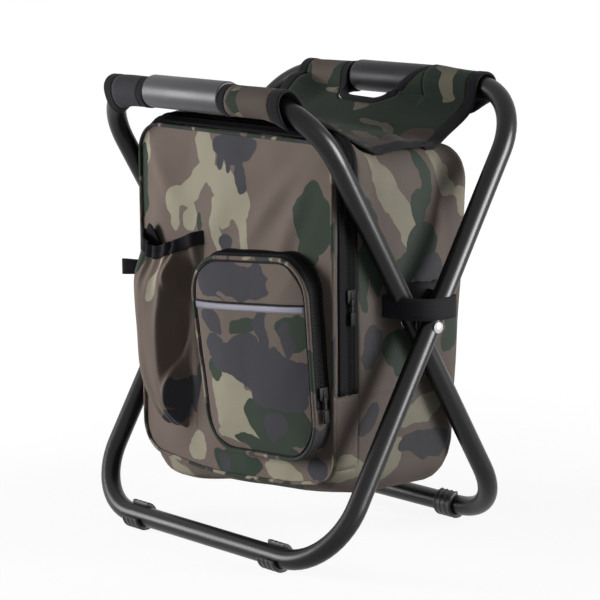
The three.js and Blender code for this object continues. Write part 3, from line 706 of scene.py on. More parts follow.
@finish
def rivet_steel(shader):
    brush = shader.noise(shader.vector("MULTIPLY", shader.place(), (60, 900, 900)), 1.0)
    shader.wear(brush, 0.4, 0.7, 0.3, "steel")
    shader.set(roughness=shader.range(brush, 0.3, 0.7, 0.18, 0.32), metallic=1.0)


def weave_height(shader, uv, pitch):
    """Plain weave: threads over and under, seen in the UV map's metres."""
    turns = math.pi / pitch
    parts = shader.parts(shader.vector("MULTIPLY", uv, (turns, turns, turns)))
    return shader.math("MULTIPLY", shader.math("SINE", parts[0]), shader.math("SINE", parts[1]))


@finish
def black_webbing(shader):
    uv = shader.uv()
    ribs = 2600
    rib = shader.math("SINE", shader.parts(shader.vector("MULTIPLY", uv, (ribs, ribs, ribs)))[1])
    height = shader.math("ADD", weave_height(shader, uv, 1.5 * MM), shader.math("MULTIPLY", rib, 0.35))
    shader.wear(shader.noise(uv, 700, 3, 0.6), 0.3, 0.75, 0.45, "webbing")
    shader.set(roughness=0.85, specular_ior_level=0.15, sheen_weight=0.04, sheen_roughness=0.5)
    shader.relief(height, 0.16 * MM, 0.8)


@finish
def zip_cloth(shader):
    uv = shader.uv()
    shader.wear(shader.noise(uv, 900), 0.3, 0.75, 0.4, "zip")
    shader.set(roughness=0.75, specular_ior_level=0.08)
    shader.relief(weave_height(shader, uv, 0.9 * MM), 0.12 * MM, 0.8)


@finish
def zip_metal(shader):
    rub = shader.noise(shader.place(), 420, 4, 0.65)
    shader.wear(rub, 0.55, 0.75, 0.5, "metal")
    shader.set(roughness=shader.range(rub, 0.3, 0.7, 0.5, 0.62), specular_ior_level=0.1)


@finish
def reflective_strip(shader):
    uv = shader.uv()
    cells = shader.add("ShaderNodeTexVoronoi", {"Vector": uv, "Scale": 1100}).outputs["Distance"]
    shader.wear(shader.noise(uv, 60, 3), 0.3, 0.7, 0.35, "reflective")
    shader.set(roughness=0.55, metallic=0.1)
    shader.relief(cells, 0.08 * MM, 0.4)


@finish
def silver_film(shader):
    place = shader.place()
    crinkle = shader.noise(place, 55, 5, 0.62)
    fine = shader.noise(place, 260, 3, 0.6)
    shader.wear(crinkle, 0.3, 0.7, 0.3, "silver")
    shader.set(roughness=shader.range(fine, 0.3, 0.7, 0.28, 0.45), metallic=0.55)
    shader.relief(shader.math("ADD", crinkle, shader.math("MULTIPLY", fine, 0.25)), 2.2 * MM, 0.6)


@finish
def sewing_thread(shader):
    shader.wear(shader.noise(shader.place(), 2500), 0.3, 0.7, 0.4, "thread")
    shader.set(roughness=0.8)


# Print: a ground colour with patches whose edges are broken up by noise.
# A placed patch is its place across and up in mm, its half sizes in mm and a tilt in degrees.

PRINT_AXES = {"front": (0, 2), "side": (1, 2), "top": (0, 1)}
PRINT_LAYERS = ("khaki", "green", "charcoal", "brown")
SIDE_FROM = 105 * MM
SIDE_SOFT = 1 * MM

# Noise that breaks up the outlines of placed patches: its scale and how far it moves them
OUTLINE_NOISE = ((19, 34 * MM), (75, 8 * MM))
PATCH_SOFT = 0.015

# Layers of the scattered print: colour, scale, offset of its noise and the level above which it shows
SCATTER = (
    ("khaki", 15, (3, 7, 1), 0.57),
    ("green", 13, (9, 2, 5), 0.55),
    ("charcoal", 16, (1, 4, 8), 0.6),
)
SCATTER_STRETCH = (1.25, 1.0, 0.8)
SCATTER_SOFT = 0.006

PANEL_PRINT = {
    "khaki": [(-38, 368, 11, 24, 0), (-40, 344, 20, 14, 0), (-58, 334, 20, 15, -28), (-74, 322, 15, 13, -15),
              (-60, 304, 8, 16, 8), (-77, 304, 5, 12, 0), (-8, 342, 24, 14, 10), (8, 324, 19, 22, 0),
              (-8, 316, 16, 18, 0), (-20, 290, 8, 22, 0), (16, 296, 8, 22, 0), (-130, 370, 7, 18, 0),
              (-52, 78, 10, 14, 0), (68, 78, 31, 13, 0)],
    "green": [(-134, 331, 6, 42, 0), (110, 318, 19, 32, 8), (104, 286, 10, 18, 10), (-45, 303, 6, 10, 0),
              (3, 76, 32, 14, 0)],
    "charcoal": [(4, 374, 34, 16, 0), (-18, 358, 7, 9, 0), (0, 358, 5, 10, 0), (18, 350, 8, 16, 0),
                 (-10, 282, 8, 11, 0), (-15, 75, 8, 10, 0), (115, 87, 10, 8, 0)],
    "brown": [(-33, 318, 10, 18, 0), (4, 294, 5, 12, 0)],
}
POCKET_PRINT = {
    "khaki": [(16, 138, 33, 34, 0), (24, 162, 15, 15, 0), (50, 152, 14, 9, 0), (-2, 150, 14, 18, 0),
              (20, 110, 30, 12, 0), (51, 117, 15, 6, 0)],
    "green": [(-4, 172, 12, 11, 0), (42, 212, 21, 11, 0), (110, 220, 21, 14, 0), (86, 132, 47, 26, 0),
              (62, 103, 46, 9, 0)],
    "charcoal": [(10, 255, 40, 18, 0), (50, 257, 26, 16, 0), (-6, 216, 17, 13, 0), (68, 215, 9, 19, 0),
                 (60, 183, 70, 19, 0), (0, 192, 22, 11, 0), (90, 167, 38, 26, 0), (100, 213, 7, 15, 0),
                 (85, 126, 12, 12, 0)],
    "brown": [(30, 271, 18, 6, 0), (31, 241, 28, 4, 0), (100, 258, 31, 18, 0), (16, 212, 6, 13, 20)],
}
SIDE_PRINT = {
    "khaki": [(-26, 362, 9, 18, 15), (-12, 335, 14, 28, 22), (2, 308, 16, 26, 25), (10, 289, 9, 13, 20),
              (52, 361, 9, 14, 0), (58, 344, 8, 14, 10), (71, 324, 8, 18, 30), (25, 135, 31, 15, 10),
              (-66, 90, 22, 10, 22), (-12, 90, 28, 12, 42)],
    "green": [(26, 352, 7, 24, 0), (22, 322, 11, 20, 0), (26, 284, 24, 24, 0), (2, 266, 16, 14, 0),
              (-38, 290, 13, 42, 15), (-52, 262, 9, 30, 0), (0, 190, 31, 21, 0), (62, 215, 11, 36, 0)],
    "charcoal": [(32, 261, 18, 9, 20), (-40, 195, 10, 20, 0), (-45, 135, 18, 11, 45), (35, 100, 30, 13, 0)],
    "brown": [(5, 364, 13, 14, 0), (58, 306, 12, 24, 0)],
}
SEAT_PRINT = {
    "khaki": [(-110, 116, 12, 4, 0), (-52, 100, 20, 8, -5), (-16, 90, 9, 14, 30), (78, 114, 15, 6, -8),
              (40, 60, 29, 6, -15), (62, 24, 26, 6, -25), (8, 18, 30, 8, 10), (64, -128, 16, 3, 0)],
    "charcoal": [(-98, -122, 38, 34, 0)],
    "brown": [(-92, 122, 32, 14, 0), (106, 26, 20, 46, 8), (72, 2, 30, 12, 0), (100, -118, 38, 30, 0),
              (-30, 32, 48, 18, 0), (-58, -118, 12, 30, 0), (44, -114, 12, 30, 0)],
}
BOTTLE_PRINT = {
    "khaki": [(-82, 238, 8, 17, 15), (-76, 260, 4, 10, 0), (-126, 190, 8, 14, 0)],
    "green": [(-114, 262, 20, 8, -42)],
    "charcoal": [(-52, 130, 24, 20, 0), (-78, 102, 22, 10, -20), (-45, 160, 9, 14, 0)],
}

# Axes, ground colour, how much of the light colour is kept, scale of scattered patches and placed patches
PRINTS = {
    "panel": ("front", "brown", 1.0, 1.0, PANEL_PRINT),
    "body": ("side", "brown", 1.0, 1.0, SIDE_PRINT),
    "pocket": ("front", "brown", 0.92, 1.0, POCKET_PRINT),
    "bottle": ("front", "brown", 1.0, 1.0, BOTTLE_PRINT),
    "piping": ("front", "brown", 0.9, 2.4, {}),
    "seat": ("top", "green", 0.6, 1.0, SEAT_PRINT),
}


def scattered_print(shader, place, size):
    """Patches at random over a brown ground."""
    colours = colours_now()
    colour = rgba(colours.brown)
    for name, scale, offset, level in SCATTER:
        stretched = shader.vector("MULTIPLY", shader.vector("ADD", place, offset), SCATTER_STRETCH)
        mask = shader.above(shader.noise(stretched, scale * size, 1.2), level, SCATTER_SOFT)
        colour = shader.blend(mask, colour, rgba(getattr(colours, name)))
    return colour


def on_axes(axes, across, up, through):
    """Three values in the order x, y, z from those across, up and through a print."""
    triple = [through, through, through]
    triple[axes[0]] = across
    triple[axes[1]] = up
    return triple


def patch_mask(shader, place, patches, axes):
    """1 inside any of the patches, 0 outside, as seen along the axis that the print doesn't use."""
    nearest = None
    endless = 10.0
    for across, up, half_across, half_up, tilt in patches:
        inputs = {
            "Vector": place,
            "Location": on_axes(axes, across * MM, up * MM, 0.0),
            "Rotation": on_axes(axes, 0.0, 0.0, math.radians(tilt)),
            "Scale": on_axes(axes, half_across * MM, half_up * MM, endless),
        }
        reach = shader.length(shader.add("ShaderNodeMapping", inputs, vector_type="TEXTURE").outputs[0])
        nearest = reach if nearest is None else shader.math("MINIMUM", nearest, reach)
    return shader.range(nearest, 1 - PATCH_SOFT, 1 + PATCH_SOFT, 1.0, 0.0)


def placed_print(shader, place, axes, ground, patches):
    """Patches at given places, with their outlines broken up."""
    colours = colours_now()
    moved = place
    for scale, reach in OUTLINE_NOISE:
        shift = shader.vector("SUBTRACT", shader.noise(place, scale, 1, output="Color"), (0.5, 0.5, 0.5))
        moved = shader.vector("ADD", moved, shader.vector("MULTIPLY", shift, (reach, reach, reach)))
    colour = rgba(getattr(colours, ground))
    for name in PRINT_LAYERS:
        if name in patches:
            mask = patch_mask(shader, moved, patches[name], axes)
            colour = shader.blend(mask, colour, rgba(getattr(colours, name)))
    return colour


@finish
def printed_cloth(shader, label):
    view, ground, kept, size, patches = PRINTS[label]
    place = shader.place()
    axes = PRINT_AXES[view]
    if view == "side":
        on_side = shader.above(shader.math("ABSOLUTE", shader.parts(place)[0]), SIDE_FROM, SIDE_SOFT)
        drawn = placed_print(shader, place, axes, ground, patches)
        colour = shader.blend(on_side, scattered_print(shader, place, size), drawn)
    elif patches:
        colour = placed_print(shader, place, axes, ground, patches)
    else:
        colour = scattered_print(shader, place, size)
    uv = shader.uv()
    tone = shader.range(shader.noise(uv, 900, 2, 0.6), 0.25, 0.75, 0.86, 1.12)
    cloud = shader.range(shader.noise(place, 9, 3, 0.6), 0.3, 0.7, 0.93, 1.06)
    shade = shader.math("MULTIPLY", shader.math("MULTIPLY", tone, cloud), kept)
    tinted = shader.add("ShaderNodeVectorMath", {0: colour, "Scale": shade}, operation="SCALE").outputs[0]
    shader.set(base_color=tinted, roughness=0.8, specular_ior_level=0.2)
    shader.set(sheen_weight=0.03, sheen_roughness=0.4)
    shader.relief(weave_height(shader, uv, 1.1 * MM), 0.14 * MM, 0.7)


# Frame, grips and feet


def frame_loop(half, turn):
    """One bent tube: a loop with round corners whose legs lean by turn at the pivot."""
    sizes = sizes_now()
    rise = LEG - sizes.bend_radius
    run = half - sizes.bend_radius
    bm = bmesh.new()
    start = Matrix.Translation((half, 0, 0))
    bmesh.ops.create_circle(bm, segments=28, radius=sizes.tube_radius, matrix=start)
    ring = extrude_ring(bm, bm.edges[:], Vector((0, 0, rise)))
    corners = [
        (run, rise, Vector((-2 * run, 0, 0))),
        (-run, rise, Vector((0, 0, -2 * rise))),
        (-run, -rise, Vector((2 * run, 0, 0))),
        (run, -rise, Vector((0, 0, rise))),
    ]
    for x, z, leg in corners:
        ring = spin(bm, ring, (x, 0, z), (0, -1, 0), math.pi / 2, 14)
        ring = extrude_ring(bm, ring, leg)
    weld(bm)
    mend_normals(bm)
    bmesh.ops.rotate(bm, verts=bm.verts[:], cent=(0, 0, 0), matrix=Matrix.Rotation(turn, 3, "X"))
    bmesh.ops.translate(bm, verts=bm.verts[:], vec=PIVOT)
    return bm


def build_frame():
    radius = sizes_now().tube_radius
    for body, turn in (("outer_frame", -INCLINE), ("inner_frame", INCLINE)):
        node = body + "_tube"
        half = node_box(node)[1].x - radius
        loop = make_piece(body + "_loop", frame_loop(half, turn), powder_coat(), "frame_paint", node)
        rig.ride(loop, body)
    for side, sign in SIDES:
        build_pivot(side, sign)


def side_reach(node):
    """Nearest and farthest distance from the stool's middle, and radius, of a turned piece of one side."""
    low, high = node_box(node)
    return *sorted((abs(low.x), abs(high.x))), (high.z - low.z) / 2


def build_pivot(side, sign):
    """Rivet and spacer of one side, drawn outwards from the stool's middle."""
    shank = 3 * MM
    plate = 1.6 * MM
    dome = 3 * MM
    edge = 0.5 * MM
    tail, head, reach = side_reach("pivot_rivet_" + side)
    profile = [
        (tail, 0),
        (tail, 0.8 * reach),
        (tail + edge, reach),
        (tail + plate, reach),
        (tail + plate, shank),
        (head - dome, shank),
        (head - dome, reach),
        (head - 0.8 * dome, reach),
        (head - 0.45 * dome, 0.83 * reach),
        (head - 0.12 * dome, 0.48 * reach),
        (head, 0),
    ]
    rivet = turned([(sign * x, r) for x, r in profile], PIVOT, 24)
    obj = make_piece("rivet_" + side, rivet, rivet_steel(), "rivet_steel", "pivot_rivet_" + side)
    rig.ride(softened(obj, 0.3 * MM), "outer_frame")
    near, far, reach = side_reach("pivot_spacer_" + side)
    bore = shank + 0.3 * MM
    profile = [(near, bore), (near, reach - edge), (near + edge, reach), (far - edge, reach),
               (far, reach - edge), (far, bore)]
    washer = turned([(sign * x, r) for x, r in profile], PIVOT, 28)
    obj = make_piece("spacer_" + side, washer, black_plastic(), "black_plastic", "pivot_spacer_" + side)
    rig.ride(obj, "outer_frame")


def rounded_end(x, inwards, radius, edge, steps=6):
    """Profile points from the flat end to the barrel of a turned piece."""
    points = []
    for i in range(steps + 1):
        angle = math.pi / 2 * i / steps
        points.append((x + inwards * edge * (1 - math.sin(angle)), radius - edge * (1 - math.cos(angle))))
    return points[::-1]


def build_grips():
    ease = 0.1 * MM
    bore = sizes_now().tube_radius + ease
    for end, body, edge in (("rear", "outer_frame", 6 * MM), ("front", "inner_frame", 1.6 * MM)):
        node = "grip_" + end
        low, high = node_box(node)
        radius = (high.z - low.z) / 2 + ease
        half = (high.x - low.x) / 2
        profile = [(-half, bore)] + rounded_end(-half, 1, radius, edge)
        profile += rounded_end(half, -1, radius, edge)[::-1] + [(half, bore)]
        grip = turned(profile, middle_of(node), 40)
        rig.ride(make_piece("hand_" + node, grip, moulded_grip(end), "grip_plastic", node), body)


def foot_clip(centre, length, way):
    """Open ring with ribs round a floor bar, open towards the outside and up, with a flat sole."""
    inner = sizes_now().tube_radius + 0.2 * MM
    crest = inner + 3.9 * MM
    edge = 0.7 * MM
    valley = crest - edge
    gap = math.radians(96)
    stripes = 7
    pitch = length / stripes
    outline = [(-length / 2, inner), (-length / 2, crest - edge)]
    for i in range(stripes):
        radius, inset = (crest, edge) if i % 2 == 0 else (valley, 0)
        x = -length / 2 + i * pitch
        outline += [(x + inset, radius), (x + pitch - inset, radius)]
    outline += [(length / 2, crest - edge), (length / 2, inner)]
    bm = bmesh.new()
    edges = chain(bm, [Vector((x, 0, r)) for x, r in outline], closed=True)
    first = way * (gap / 2 - math.pi / 4)
    bmesh.ops.rotate(bm, verts=bm.verts[:], cent=(0, 0, 0), matrix=Matrix.Rotation(first, 3, "X"))
    spin(bm, edges, (0, 0, 0), (way, 0, 0), 2 * math.pi - gap, 28)
    close_holes(bm, rim_edges(bm))
    bmesh.ops.translate(bm, verts=bm.verts[:], vec=centre)
    cut = bmesh.ops.bisect_plane(bm, geom=bm.verts[:] + bm.edges[:] + bm.faces[:], plane_co=(0, 0, 0),
                                 plane_no=(0, 0, -1), clear_outer=True)
    close_holes(bm, [item for item in cut["geom_cut"] if isinstance(item, bmesh.types.BMEdge)])
    return mend_normals(bm)


def build_feet():
    ends = (("front", "outer_frame", -1, FRONT_BAR), ("rear", "inner_frame", 1, REAR_BAR))
    for end, body, way, bar in ends:
        for side in ("left", "right"):
            node = f"foot_clip_{end}_{side}"
            low, high = node_box(node)
            axis = Vector(((low.x + high.x) / 2, bar.y, 2 * PIVOT.z - bar.z))
            clip = foot_clip(axis, 0.76 * (high.x - low.x), way)
            obj = make_piece(f"foot_{end}_{side}", clip, black_plastic(), "black_plastic", node)
            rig.ride(softened(obj, 0.35 * MM), body)


# Seat: a sling whose ends turn round the top bars as sleeves, cut back at the grips

SEAT_SPLIT_Y = -30 * MM
SLEEVE_DROP = 1.5 * MM
SLEEVE_TIP = 14 * MM
SLEEVE_STEPS = 18
REAR_STEPS = 34
FRONT_STEPS = 22
SLANT_START = -5 * MM
SLANT_TOP = 40 * MM
SLANT_CURVE = 1.2
SLANT_BAND = 1.3
STATION_STEP = 4 * MM
CALM_ENDS = 30 * MM
CALM_SIDES = 34 * MM
CALM_LEAST = 0.2
BINDING_THICKNESS = 2.6 * MM
SEAM = 0.05 * MM
SPLIT_ROW = SLEEVE_STEPS + REAR_STEPS
SLEEVE_SLACK = 0.035
GRIP_COVER = 1.6 * MM
COVER_RUN = 45 * MM
HEM_REACH = 7 * MM
HEM_GAP = 2.2 * MM
LEFT_REAR_LIFT = 15 * MM
STITCH_BELOW_BAR = 32 * MM
REAR_BLEND = ((0, 105 * MM, 0), (0, 60 * MM, 0))
FRONT_BLEND = ((0, 45 * MM, 0), (0, -105 * MM, 0))

# Folds on the seat's right: height, slant, where the slant starts, place along the seat and width, in mm
SEAT_FOLDS = ((3.2, 0.4, 60, 44, 8), (-2.4, 0.5, 60, 60, 5), (1.6, 0.3, 90, 22, 5))

# Shares of the way over which the seat's hang is evened out
HANG_TAPS = (-0.024, -0.012, 0.0, 0.012, 0.024)

# How far the seat's edges hang below the bars, in mm, at shares of the way from the rear bar to the front one
LEFT_HANG = ((0, 1.5), (0.05, 10), (0.14, 20), (0.22, 28), (0.34, 34), (0.45, 36), (0.51, 35.5), (0.59, 31),
             (0.66, 24), (0.77, 13.5), (0.85, 7.5), (1, 1.5))
RIGHT_HANG = ((0, 1.5), (0.095, 24), (0.15, 32), (0.2, 38), (0.245, 45), (0.274, 49.5), (0.34, 46), (0.5, 45),
              (0.58, 47.5), (0.63, 41), (0.68, 35), (0.78, 21.5), (0.83, 13), (1, 1.5))


def bar_axis(way, x):
    """Point on a top bar's axis at x: way is 1 for the rear bar and -1 for the front one."""
    sizes = sizes_now()
    node = "outer_frame_tube" if way > 0 else "inner_frame_tube"
    half = node_box(node)[1].x - sizes.tube_radius
    past = max(abs(x) - (half - sizes.bend_radius), 0)
    height = LEG - sizes.bend_radius + math.sqrt(sizes.bend_radius ** 2 - past ** 2)
    return Vector((x, PIVOT.y + way * height * math.sin(INCLINE), PIVOT.z + height * math.cos(INCLINE)))


def hang_at(points, share):
    """Hang of one edge at a share of the way, its corners rounded by a running mean."""
    total = 0.0
    for tap in HANG_TAPS:
        at = clamp(share + tap)
        start, end = next(pair for pair in zip(points, points[1:]) if at <= pair[1][0])
        total += mix(start[1], end[1], (at - start[0]) / (end[0] - start[0]))
    return total / len(HANG_TAPS) * MM


def sling_line(x):
    """The seat's line at x as (y, z) pairs, from the rear bar to the front one."""
    share = (x - SEAT_LOW.x) / (SEAT_HIGH.x - SEAT_LOW.x)
    lift = LEFT_REAR_LIFT * smooth_step(-70 * MM, SEAT_LOW.x, x)
    rear = bar_axis(1, x)
    front = bar_axis(-1, x)
    steps = 96
    line = []
    for i in range(steps + 1):
        along = i / steps
        spot = rear.lerp(front, along)
        drop = mix(hang_at(LEFT_HANG, along), hang_at(RIGHT_HANG, along), share)
        line.append((spot.y, spot.z - (drop - lift * bump(along, 0.1, 0.08))))
    return line


def height_on(line, y):
    """Height of a line of (y, z) pairs with falling y, at y."""
    for (y0, z0), (y1, z1) in zip(line, line[1:]):
        if y >= y1:
            return mix(z0, z1, (y0 - y) / (y0 - y1))
    return line[-1][1]


def notch_rise(way, x, spread):
    """Height of the cut's edge round a grip, widened by spread, along the cloth from the sleeve's tip at x.

    It is negative below the tip and None beside the cut.
    """
    sizes = sizes_now()
    low, high = (corner.x for corner in GRIP_BOXES[way])
    if way > 0:
        depth, corner = sizes.rear_notch - SLEEVE_TIP, sizes.rear_corner
        inside = x - low + spread if x <= high else -1
    else:
        depth, corner = sizes.front_notch - SLEEVE_TIP, sizes.front_corner
        inside = min(x - low, high - x) + spread
    if inside < 0:
        return None
    wide = corner + spread
    curved = corner - depth - math.sqrt(wide ** 2 - max(wide - inside, 0) ** 2)
    if way < 0:
        return curved
    share = max((x - SLANT_START) / (high - SLANT_START), 0)
    return max(curved, mix(-depth, SLANT_TOP, share ** SLANT_CURVE) - SLANT_BAND * spread)


def seat_stations():
    """Places across the seat where its rows of corners stand."""
    band = sizes_now().binding
    side = sizes_now().side_binding
    keys = {SEAT_LOW.x, SEAT_LOW.x + side, SEAT_HIGH.x - side, SEAT_HIGH.x}
    for low, high in GRIP_BOXES.values():
        keys |= {low.x - band, low.x - SEAM, low.x + SEAM, high.x - SEAM, high.x + SEAM, high.x + band}
    keys = sorted(keys)
    stations = []
    for start, end in zip(keys, keys[1:]):
        count = max(math.ceil((end - start) / STATION_STEP), 1)
        stations += [mix(start, end, i / count) for i in range(count)]
    return stations + [keys[-1]]


def sleeve_points(line, way, x, tip):
    """Points round a bar from the hem under the seat, or from the cut at a grip, to the sleeve's tip."""
    sizes = sizes_now()
    bar = bar_axis(way, x)
    centre = Vector((0, bar.y, bar.z - SLEEVE_DROP))
    low, high = GRIP_BOXES[way]
    radius = sizes.sleeve_radius
    if way > 0:
        over_grip = (high.z - low.z) / 2 + GRIP_COVER
        cover = smooth_step(low.x - 1 * MM, low.x + 1 * MM, x) * smooth_step(high.x + COVER_RUN, high.x, x)
        radius = mix(radius, over_grip, cover)
    away = tip - centre
    reach = max(away.length, radius * 1.02)
    along = away.normalized()
    up = Vector((0, way * along.z, -way * along.y))
    lean = math.acos(radius / reach)
    rise = notch_rise(way, x, 0)

    def out_at(angle):
        return math.cos(angle) * along + math.sin(angle) * up

    points = []
    if rise is not None:
        straight = math.sqrt(reach ** 2 - radius ** 2)
        left = centre + radius * out_at(lean)
        band = min(1.25 * sizes.binding, 0.8 * rise)
        for i in range(SLEEVE_STEPS):
            distance = rise if i == 0 else mix(rise - band, 0, (i - 1) / (SLEEVE_STEPS - 1))
            spot = centre + radius * out_at(lean + (distance - straight) / radius)
            if distance < straight:
                spot = tip.lerp(left, max(distance, 0) / straight)
            points.append(Vector((x, spot.y, spot.z)))
        return [points[0]] + points
    up_loop = Vector((0, way * math.sin(INCLINE), math.cos(INCLINE)))
    missing = LEG - (bar - Vector((x, PIVOT.y, PIVOT.z))).length
    for i in range(SLEEVE_STEPS):
        angle = -lean - (2 * math.pi - 2 * lean) * i / (SLEEVE_STEPS - 1)
        slack = 1 + SLEEVE_SLACK * wobble(x * 38, angle * 0.8, way * 7)
        out = out_at(angle)
        spot = centre + radius * slack * out + up_loop * missing * smooth_step(-0.3, 0.9, out.dot(up_loop))
        points.append(Vector((x, spot.y, spot.z)))
    hem_y = tip.y - way * HEM_REACH
    return [Vector((x, hem_y, height_on(line, hem_y) - HEM_GAP))] + points


def seat_ripple(x, y):
    """Unevenness of the slack seat cloth."""
    right = smooth_step(20 * MM, 110 * MM, x)
    ripple = 1.5 * MM * wobble(x * 16, y * 16, 3)
    for height, slant, start, place, width in SEAT_FOLDS:
        ripple += height * MM * bump(y + slant * (x - start * MM), place * MM, width * MM) * right
    return ripple


def seat_column(x):
    """The seat's points at x from the rear hem to the front hem."""
    band = sizes_now().binding
    line = sling_line(x)
    ends = {}
    for way in (1, -1):
        cut = notch_rise(way, x, 0)
        bound = notch_rise(way, x, band)
        bar = abs(bar_axis(way, x).y)
        edge = SLEEVE_TIP - min(cut or 0, 0)
        second = edge + band if bound is None else max(SLEEVE_TIP - bound, edge + 0.25 * band)
        ends[way] = (way * (bar - edge), way * (bar - second))
    rows = [ends[1][0]]
    rows += [mix(ends[1][1], SEAT_SPLIT_Y, i / (REAR_STEPS - 2)) for i in range(REAR_STEPS - 1)]
    rows += [mix(SEAT_SPLIT_Y, ends[-1][1], i / (FRONT_STEPS - 1)) for i in range(1, FRONT_STEPS)]
    rows.append(ends[-1][0])
    flat = []
    for y in rows:
        calm = smooth_step(0, CALM_ENDS, min(ends[1][0] - y, y - ends[-1][0]))
        calm *= mix(CALM_LEAST, 1, smooth_step(0, CALM_SIDES, min(x - SEAT_LOW.x, SEAT_HIGH.x - x)))
        flat.append(Vector((x, y, height_on(line, y) + calm * seat_ripple(x, y))))
    rear = sleeve_points(line, 1, x, Vector((0, flat[0].y, flat[0].z)))
    front = sleeve_points(line, -1, x, Vector((0, flat[-1].y, flat[-1].z)))
    return rear + flat + front[::-1]


def seat_zone(x, row, last):
    """Gap, binding or cloth for the seat's face at x whose first corner is in a row."""
    sizes = sizes_now()
    band = sizes.binding
    way = 1 if row < SPLIT_ROW else -1
    low, high = (corner.x for corner in GRIP_BOXES[way])
    from_end = row if way > 0 else last - 1 - row
    sleeve_rows = SLEEVE_STEPS + 1
    rise = notch_rise(way, x, 0)
    edge = x < SEAT_LOW.x + sizes.side_binding or x > SEAT_HIGH.x - sizes.side_binding
    by_notch = notch_rise(way, x, band) is not None and (rise is None or rise < band)
    if from_end < sleeve_rows:
        at_end = min(abs(x - low), abs(x - high)) < SEAM
        if at_end or (rise is not None and (rise <= 0 or from_end == 0)):
            return "gap"
        edge = edge or by_notch or (rise is not None and from_end == 1)
    elif from_end == sleeve_rows:
        edge = edge or by_notch
    return "binding" if edge else "cloth"


def seat_mesh(stations, columns, first, final, kind):
    """The seat's faces of one kind between two rows of corners."""
    across = len(stations) - 1
    last = len(columns[0]) - 1
    count = final - first
    bm = bmesh.new()
    surface(bm, across, count, lambda u, v: columns[round(u * across)][first + round(v * count)])
    drop = []
    for i, face in enumerate(bm.faces):
        column = i % across
        x = (stations[column] + stations[column + 1]) / 2
        if seat_zone(x, first + i // across, last) != kind:
            drop.append(face)
    bmesh.ops.delete(bm, geom=drop, context="FACES")
    bmesh.ops.dissolve_degenerate(bm, dist=0.01 * MM, edges=bm.edges[:])
    return mend_normals(bm)


def build_seat():
    stations = seat_stations()
    columns = [seat_column(x) for x in stations]
    last = len(columns[0]) - 1
    width = SEAT_HIGH.x - SEAT_LOW.x
    parts = {
        "rear": (0, SPLIT_ROW, "bag", REAR_BLEND, "outer_frame_loop",
                 ["seat_sling", "seat_sleeve_rear_left", "seat_sleeve_rear_right"]),
        "front": (SPLIT_ROW, last, "inner_frame", FRONT_BLEND, "inner_frame_loop",
                  ["seat_sleeve_front_left", "seat_sleeve_front_right"]),
    }
    for end, (first, final, body, blend, bar, nodes) in parts.items():
        cloth_mesh = seat_mesh(stations, columns, first, final, "cloth")
        edge_mesh = seat_mesh(stations, columns, first, final, "binding")
        cloth = printed_piece("seat_cloth_" + end, cloth_mesh, "seat", *nodes)
        edge = webbing_piece("seat_binding_" + end, edge_mesh)
        area = sum(face.area for face in cloth.data.polygons)
        for obj in (cloth, edge):
            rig.blend(obj, "outer_frame", body, *blend)
        thicken(cloth, sizes_now().cloth, 0.0)
        smoothed(thicken(edge, BINDING_THICKNESS, 0.0))
        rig.sheet(cloth, flat=(width, 1.12 * area / width), held="hung", rests_on=[bar], area=area,
                 with_pieces=[edge])
    build_seat_stitches()


def build_seat_stitches():
    """Row of stitches across the seat below the rear sleeves."""
    margin = 14 * MM
    steps = 59
    line = []
    for i in range(steps + 1):
        x = mix(SEAT_LOW.x + margin, SEAT_HIGH.x - margin, i / steps)
        y = bar_axis(1, x).y - STITCH_BELOW_BAR
        line.append(Vector((x, y, height_on(sling_line(x), y) + seat_ripple(x, y) * 0.6 + 0.7 * MM)))
    normals = [Vector((0, -0.7, 0.7))] * len(line)
    seam = make_piece("seat_stitches", stitches([(line, normals)]), sewing_thread(), "black_webbing")
    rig.blend(seam, "outer_frame", "bag", *REAR_BLEND)


# Bag: an outline in front view, drawn along the depth with sag, a ridge at the zip and a leaning, round back

ZIP_END_Z = node_box("main_zip_tape_bag", "main_zip_tape_flap")[0].z
LID_DIP = 14.1 * MM
RIDGE = 8 * MM
SAG_RUN = 60 * MM
REAR_RISE = 16 * MM
TAPE_FRONT = ZIP_Y - 14 * MM
TAPE_REAR = ZIP_Y + 9.5 * MM
SIDE_SEAM_Z = ZIP_END_Z + 3 * MM
STRAP_Z = node_box("leg_strap_right")[1].z - 5 * MM
RING_STEPS = {"low": 26, "gore": 12, "zip": 60}
FRONT_RINGS = 8
BAG_WELD = 0.05 * MM
FILM = 0.8 * MM
SIDE_PUFF = 2.4 * MM
LID_PUFF = 8 * MM
GATHER_HEIGHT = 1.2 * MM
GATHER_LENGTH = 4.6 * MM
GATHER_RISE = (265 * MM, 360 * MM)
FOLD_RISE = (225 * MM, 330 * MM)
SEAM_GROOVE = 1.5 * MM
SEAM_WIDTH = 2.2 * MM
SAG_HEIGHT = 55 * MM

# Hang of the bag's lower front edge, and of the belly behind it: height, place across and width in mm
EDGE_HILLS = ((9, -32, 84), (-6, 118, 30))
BELLY_HILLS = ((13, -98, 44),)
BELLY = 4 * MM

# Folds down the bag's sides: height, below 0 for a crease, place along the depth and width in mm, and lean
SIDE_FOLDS = ((-1.6, -30, 10, 0), (-5.5, 38, 12, 0.12), (2.4, -8, 8, 0), (2.4, 60, 8, 0.12))


def rear_start():
    return REAR_Y - sizes_now().rear_round


